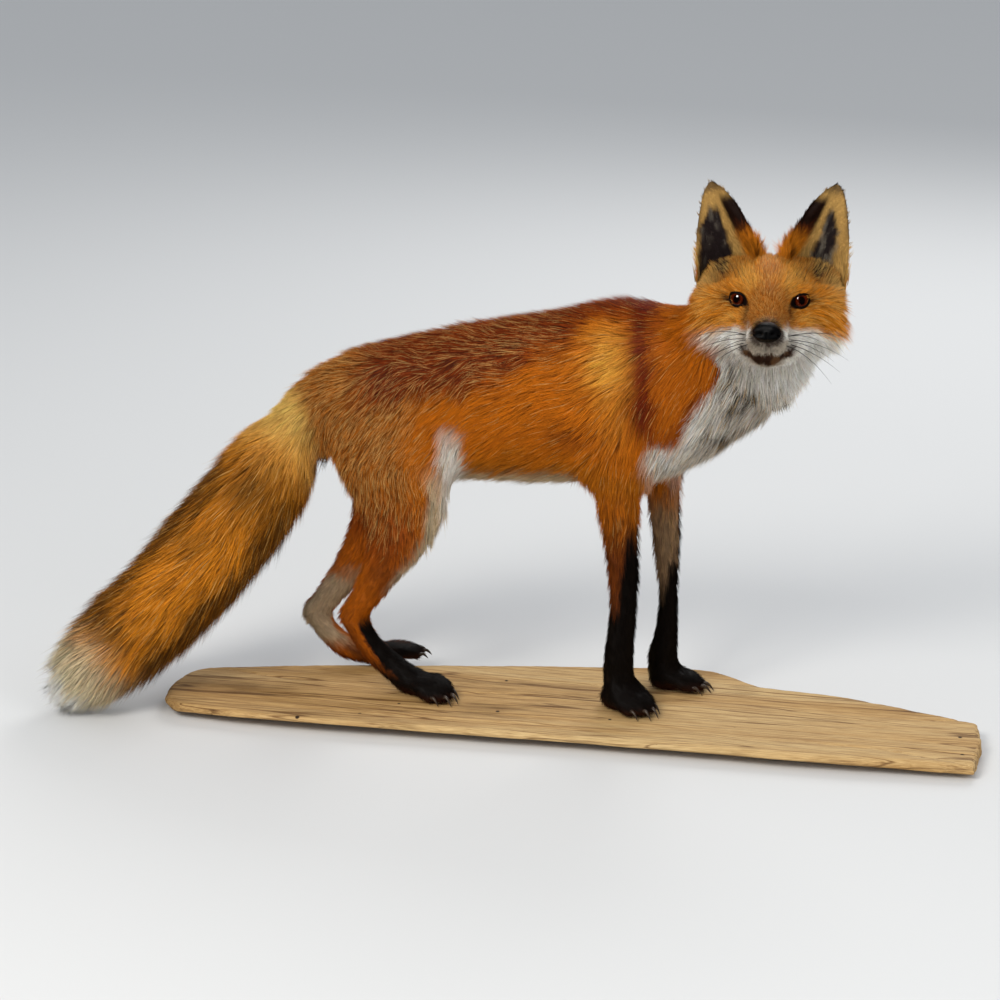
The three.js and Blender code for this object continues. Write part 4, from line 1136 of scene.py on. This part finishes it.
# ---- materials
class Look:
    """A material, whose Principled shader is fed by nodes."""

    def __init__(self, name, base, roughness, inputs=None):
        self.material = bpy.data.materials.new(name)
        self.material.use_nodes = True
        self.tree = self.material.node_tree
        self.done({"Base Color": (*base, 1), "Roughness": roughness, **(inputs or {})})

    def feed(self, node, inputs):
        """Fills a node's inputs: another node's output is linked, and a value is set."""
        for name, value in inputs.items():
            if isinstance(value, bpy.types.NodeSocket):
                self.tree.links.new(value, node.inputs[name])
            else:
                node.inputs[name].default_value = value
        return node.outputs

    def done(self, inputs):
        """Feeds the shader, and returns the material."""
        self.feed(self.tree.nodes["Principled BSDF"], inputs)
        return self.material

    def add(self, kind, inputs, **settings):
        """The outputs of a new node."""
        node = self.tree.nodes.new("ShaderNode" + kind)
        for name, value in settings.items():
            setattr(node, name, value)
        return self.feed(node, inputs)

    def stretched(self, scale=(1, 1, 1)):
        """The object's own coordinates, stretched along its axes."""
        here = self.add("TexCoord", {})["Object"]
        return self.add("Mapping", {"Vector": here, "Scale": scale})[0]

    def noise(self, vector, scale, detail):
        return self.add("TexNoise", {"Vector": vector, "Scale": scale, "Detail": detail})

    def mapped(self, value, start, end, low=0, high=1):
        """A value that runs from low to high while another one runs from start to end."""
        limits = {"From Min": start, "From Max": end, "To Min": low, "To Max": high}
        return self.add("MapRange", {"Value": value, **limits})[0]

    def ramp(self, value, stops):
        """Colours by a value, from stops with a place and a hex code."""
        node = self.tree.nodes.new("ShaderNodeValToRGB")
        elements = node.color_ramp.elements
        while len(elements) < len(stops):
            elements.new(0.5)
        for element, (place, hexcode) in zip(elements, stops):
            element.position = place
            element.color = (*colour(hexcode), 1)
        return self.feed(node, {0: value})[0]

    def mixed(self, under, over, share, way="MIX"):
        inputs = {"Factor": share, "A": under, "B": over}
        return self.add("Mix", inputs, data_type="RGBA", blend_type=way)["Result"]

    def bump(self, height, strength, distance):
        return self.add("Bump", {"Height": height, "Strength": strength, "Distance": distance})[0]


def coat_material(name, gain):
    """Hair that takes its colour from the markings, with a little finer variation."""
    look = Look(name, (0.4, 0.2, 0.05), 0.62, {"Specular IOR Level": 0.12})
    markings = look.add("VertexColor", {}, layer_name="coat")["Color"]
    grain = look.add("TexNoise", {"Scale": 420, "Detail": 2})["Fac"]
    gains = look.mapped(grain, 0.3, 0.7, 0.86 * gain, 1.14 * gain)
    varied = look.add("VectorMath", {0: markings, "Scale": gains}, operation="SCALE")
    return look.done({"Base Color": varied["Vector"]})


def add_piece(name, mesh, finish, replaced=(), place=Matrix()):
    """Puts a finished mesh in the scene as a piece of the fox."""
    made = new_object(name, mesh)
    mesh.materials.clear()
    mesh.materials.append(finish)
    made.matrix_world = place
    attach(made, "root")
    if replaced:
        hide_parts(*replaced)


def add_coat():
    mesh, kinds, local = grow_skin()
    unwrap(mesh)
    set_colours(mesh, "coat", marks(places(mesh), normals(mesh), kinds, local)[0])
    # The skin takes the markings darkened: painted shade between the hairs.
    add_piece("skin", mesh, coat_material("skin", PAINTED_SKIN_SHADE), FLESH + ["ear_left", "ear_right"])
    skin = Skin(mesh, kinds, local)
    fur = coat_material("fur", 1.0)
    for region, (count, pieces) in HAIRS.items():
        tick = COAT["face_tick" if region == "head" else "tick"]
        for number in range(pieces):
            hairs = hairs_of(skin, region, count // pieces)
            name = f"fur_{region}_{number + 1}"
            add_piece(name, hair_mesh(name, hairs, tick), fur)


# ---- eyes
IRIS_STOPS = [
    (0.0, "120503"), (0.34, "3a1105"), (0.54, "5c1c07"),
    (0.66, "3c1005"), (0.76, "120603"), (0.90, "060302"),
]
PUPIL = (0.002, 0.001, 0.001, 1)


def eye_material():
    """Polished glass over a dark amber iris with a slit pupil. The eye looks along its own x."""
    look = Look("eye", (0.1, 0.02, 0.01), 0.05, {
        "Specular IOR Level": 0.5, "Coat Weight": 1.0, "Coat Roughness": 0.02,
    })

    def from_axis(y_stretch, z_stretch):
        """The distance from the eye's axis in eyeball radii, with y and z stretched."""
        radii = 1 / (EYE_RADIUS * MM)
        across = look.stretched((0, y_stretch * radii, z_stretch * radii))
        return look.add("VectorMath", {0: across}, operation="LENGTH")["Value"]

    iris = look.ramp(from_axis(1, 1), IRIS_STOPS)
    streaks = look.noise(look.stretched(), 1600, 3)["Fac"]
    shade = look.mixed(iris, streaks, 0.5, "MULTIPLY")
    pupil_edge = look.mapped(from_axis(1.25, 0.85), 0.34, 0.46)
    return look.done({"Base Color": look.mixed(PUPIL, shade, pupil_edge)})


def add_eyes():
    glass = eye_material()
    for side, name in ((1, "left"), (-1, "right")):
        points, faces = ball(28, 40)
        bulge = 1 + 0.05 * ease(0.5, 0.95, points[:, 0])
        look, _, up = eye_frame(side)
        turn = Matrix(np.column_stack([look, np.cross(up, look), up]).tolist()).to_4x4()
        place = HEAD @ Matrix.Translation(EYE_AT * [1, side, 1]) @ turn
        place.translation *= MM
        mesh = mesh_of("eye", points * bulge[:, None] * EYE_RADIUS, faces)
        add_piece(f"glass_eye_{name}", mesh, glass, [f"eye_{name}"], place)


# ---- nose
NOSTRIL = unit(np.array([0.80, 0.55, -0.08]))
NOSTRIL_TAIL = unit(np.array([0.30, 0.92, -0.30]))


def nose_material():
    """Black leather of small cells, shiny but for the pits of the nostrils."""
    look = Look("nose", colour("060607"), 0.33, {"Specular IOR Level": 0.28})
    cells = look.add("TexVoronoi", {"Scale": 900})["Distance"]
    pits = look.add("VertexColor", {}, layer_name="pit")["Color"]
    return look.done({
        "Normal": look.bump(cells, 0.35, 0.0004),
        "Roughness": look.mapped(pits, 0, 1, 0.33, 1.0),
    })


def add_nose():
    way, faces = ball(56, 72)
    folded = fold(way)
    hole = size_of(folded - NOSTRIL)
    slit = near_line(folded, [NOSTRIL, NOSTRIL_TAIL])[0]
    cleft = bell(way[:, 1], 0.07) * ease(0.25, -0.1, way[:, 2]) * ease(0.2, 0.6, way[:, 0])
    radius = 1 - 0.10 * ease(0.75, 1.0, way[:, 0]) - 0.10 * cleft
    radius += 0.07 * ease(0.2, 0.9, way[:, 2]) * ease(0.9, 0.3, np.abs(way[:, 1]))
    radius -= 0.30 * bell(hole, 0.24) + 0.20 * bell(slit, 0.13)
    pit = np.clip(bell(hole, 0.24) + bell(slit, 0.11), 0, 1)
    placed = NOSE_AT + way * radius[:, None] * (NOSE_RADII + NOSE_SWELL)
    mesh = mesh_of("nose", from_head(placed), faces)
    set_colours(mesh, "pit", np.repeat(pit[:, None], 3, axis=1))
    add_piece("nose_leather", mesh, nose_material(), ["nose"])


# ---- claws and whiskers
TOES = (-1, -0.34, 0.34, 1)  # places across a paw
CLAW_LENGTH, CLAW_RADIUS = 11, 2.1


def tubes_mesh(name, tubes):
    """Several tubes as one mesh."""
    starts = np.cumsum([0] + [len(points) for points, _ in tubes])
    faces = [faces + start for (_, faces), start in zip(tubes, starts)]
    return mesh_of(name, np.concatenate([points for points, _ in tubes]), np.concatenate(faces))


def add_claws():
    """Four curved claws on each paw, from the tops of its toes down to the board."""
    t = np.linspace(0, 1, 8)
    tubes = []
    for (x, y), turn, length, half in PAWS.values():
        angle = math.radians(turn)
        forward = np.array([math.cos(angle), math.sin(angle), 0])
        sideways = np.array([-math.sin(angle), math.cos(angle), 0])
        for place in TOES:
            inner = abs(place) < 0.5
            toe = half * (0.42 if inner else 0.40)
            reach = length * (0.44 if inner else 0.31) + toe * 0.35
            root = np.array([x, y, BOARD_TOP]) + sideways * place * half * 0.68
            height = toe * 0.95 + 2.0 * np.sin(math.pi * t) - (toe * 0.95 - 1.0) * t ** 1.6
            path = root + np.outer(reach + CLAW_LENGTH * t, forward) + np.outer(height, [0, 0, 1])
            tubes.append(tube(path, CLAW_RADIUS * (1 - t) ** 0.7 + 0.12, 8))
    look = Look("horn", colour("4a3a2c"), 0.38)
    streak = look.add("TexNoise", {"Scale": 300})["Fac"]
    horn = look.done({"Base Color": look.ramp(streak, [(0.3, "1c1410"), (0.7, "4c3c2e")])})
    add_piece("claws", tubes_mesh("claws", tubes), horn)


def add_whiskers():
    """Stiff black hairs on the whisker pads and over the eyes."""
    tubes = []
    for side in (1, -1):
        for row, column in np.ndindex(3, 2):
            root = [68 - 9 * column, (16.5 + 4.5 * column) * side, -16 - 4.0 * row]
            way = [0.25 - 0.2 * column, side, 0.25 - 0.25 * row]
            length = 30 + 10 * column + 14 * rng.random()
            tubes.append(whisker(root, way, length, 9 + 14 * rng.random(), 0.38))
        for column in range(3):
            root = [34 - 5 * column, (20 + 5 * column) * side, 28 + 1.5 * column]
            tubes.append(whisker(root, [0.2, side * 0.4, 1.0], 22 + 3 * column, 6, 0.24))
    black = Look("whisker", colour("120d0b"), 0.4).material
    add_piece("whiskers", tubes_mesh("whiskers", tubes), black)


def whisker(root, way, length, droop, radius):
    """One stiff hair that bends back and down."""
    t = np.linspace(0, 1, 9)
    bend = [-0.25 * length, 0, -droop]
    path = root + np.outer(length * t, unit(np.array(way))) + np.outer(t * t, bend)
    return tube(from_head(path), radius * (1 - 0.85 * t), 5)


# ---- the board
BOARD_VOXEL = 2.4
CRACKS = [(-0.12, -58, 6.0), (0.05, -20, 5.0), (0.02, -92, 4.0), (0.03, 22, 4.5)]  # slope, y, wander
WOOD_LAYERS = [  # a noise's stretch, scale and detail, its colours, and how strongly it shows
    ((0.6, 8, 8), 3.5, 4.0, [(0.32, "bb965e"), (0.5, "cba974"), (0.7, "d6ba88")], 1.0),
    ((1.2, 60, 60), 9.0, 6.0, [(0.36, "8d6a40"), (0.47, "efe4cf"), (1.0, "ffffff")], 0.5),
    ((5, 240, 240), 9.0, 3.0, [(0.35, "a98c66"), (0.6, "ffffff")], 0.6),
    ((1.5, 5, 5), 6.0, 5.0, [(0.28, "a39a88"), (0.45, "ffffff")], 0.7),
]
CHECK_STOPS = [
    (0.0, "ffffff"), (0.486, "ffffff"), (0.498, "7c5a36"), (0.504, "7c5a36"), (0.516, "ffffff"),
]
# The worm holes are only painted: their near-black is painted shade inside them.
HOLE_SHADE = (0.03, 0.016, 0.008, 1)


def add_board():
    """The board with its grain raised, its edges chipped and a few long cracks."""
    mesh = remeshed(merged_solids(["base_board"]), BOARD_VOXEL)
    relax(mesh, 3)
    p = places(mesh)
    n = normals(mesh)
    x, y, z = p.T
    flat = np.abs(n[:, 2])
    along = p * [0.035, 1, 1]
    ridges = noise(along, 2.6, 30) * 0.35 + noise(along, 6.5, 31) * 0.5
    ridges += noise(p * [0.08, 1, 1], 16, 32) * 0.7
    chips = noise(p * [0.12, 1, 0.6], 5, 33) * 1.2 + noise(p * [0.05, 1, 1.5], 11, 34) * 1.3
    move = ridges * flat + (chips - 0.9) * (1 - flat)
    for slope, middle, wander in CRACKS:
        line = middle + slope * x + wander * noise(p * [0.02, 0, 0], 1, abs(middle))
        open_here = ease(-0.25, 0.35, noise(p * [0.006, 0, 0], 1, abs(middle) + 7))
        move -= 1.9 * bell(y - line, 1.5) * open_here * (n[:, 2] > 0.3)
    move = np.where((n[:, 2] < -0.5) & (z < 1.5), np.maximum(-np.abs(move) * 0.3, -0.6), move)
    move = np.where(n[:, 2] > 0.5, np.minimum(move, 0.15), move)
    move_to(mesh, p + n * move[:, None])
    mesh.shade_smooth()
    add_piece("driftwood", mesh, board_material(), ["base_board"])


def checks(look):
    """Thin dark drying checks that wander along the grain and bend round a few knots."""
    bend = look.noise(look.stretched((0.5, 1.2, 1.2)), 7, 1)["Color"]
    inputs = {0: bend, 1: (0, 0.045, 0), 2: look.stretched((0.045, 1, 1))}
    moved = look.add("VectorMath", inputs, operation="MULTIPLY_ADD")["Vector"]
    return look.ramp(look.noise(moved, 60, 1)["Fac"], CHECK_STOPS)


def worm_holes(look):
    """1 in the few round holes of the board, and 0 elsewhere."""
    cells = look.add("TexVoronoi", {"Vector": look.stretched(), "Scale": 34})
    red = look.add("SeparateColor", {0: cells["Color"]})[0]
    rare = look.add("Math", {0: red, 1: 0.62}, operation="GREATER_THAN")[0]
    near = look.mapped(cells["Distance"], 0.085, 0.055)
    return look.add("Math", {0: rare, 1: near}, operation="MULTIPLY")[0]


def board_material():
    look = Look("driftwood", (0.5, 0.35, 0.18), 0.72, {"Specular IOR Level": 0.25})
    shade = (1, 1, 1, 1)
    for stretch, scale, detail, stops, share in WOOD_LAYERS:
        layer = look.ramp(look.noise(look.stretched(stretch), scale, detail)["Fac"], stops)
        shade = look.mixed(shade, layer, share, "MULTIPLY")
    shade = look.mixed(shade, checks(look), 0.7, "MULTIPLY")
    pores = look.noise(look.stretched((2, 150, 150)), 9.0, 5.0)["Fac"]
    return look.done({
        "Base Color": look.mixed(shade, HOLE_SHADE, worm_holes(look)),
        "Normal": look.bump(pores, 0.6, 0.001),
    })


# ---- studio
FLOOR_HALF = 30  # metres, as are the lights' places and sizes
FLOOR_COLOUR = (0.66, 0.66, 0.65)
SKY_COLOUR, SKY_STRENGTH = (0.82, 0.86, 0.92, 1), 0.7
LIGHTS = [  # name, place, size, power, tint, and whether the eyes and the nose mirror it
    ("key", (-0.9, -2.2, 2.1), 1.1, 58, (1, 0.97, 0.92), True),
    ("fill", (2.0, -1.6, 1.2), 1.6, 22, (1, 1, 1), False),
    ("back", (0.4, 2.2, 1.9), 1.4, 26, (1, 1, 1), True),
]
LIT_PLACE = (-0.05, 0, 0.25)


def add_studio():
    """A plain pale floor that the eyes don't mirror, under soft lights and a pale sky."""
    floor = new_object("floor", bpy.data.meshes.new("floor"))
    corners = [(x * FLOOR_HALF, y * FLOOR_HALF, 0) for x, y in ((-1, -1), (1, -1), (1, 1), (-1, 1))]
    floor.data.from_pydata(corners, [], [(0, 1, 2, 3)])
    floor.data.materials.append(Look("floor", FLOOR_COLOUR, 0.9).material)
    floor.visible_glossy = False
    world = bpy.data.worlds.new("world")
    world.use_nodes = True
    sky = world.node_tree.nodes["Background"]
    sky.inputs["Color"].default_value = SKY_COLOUR
    sky.inputs["Strength"].default_value = SKY_STRENGTH
    world.cycles_visibility.glossy = False  # only the lights are mirrored in the eyes and the nose
    bpy.context.scene.world = world
    bpy.context.scene.view_settings.view_transform = "Standard"
    for name, place, size, power, tint, mirrored in LIGHTS:
        data = bpy.data.lights.new(name, "AREA")
        data.size = size
        data.energy = power
        data.color = tint
        light = new_object(name, data)
        light.location = place
        light.visible_glossy = mirrored
        light.rotation_euler = aimed_along(Vector(LIT_PLACE) - Vector(place))


add_camera()
add_coat()
add_eyes()
add_nose()
add_claws()
add_whiskers()
add_board()
add_studio()
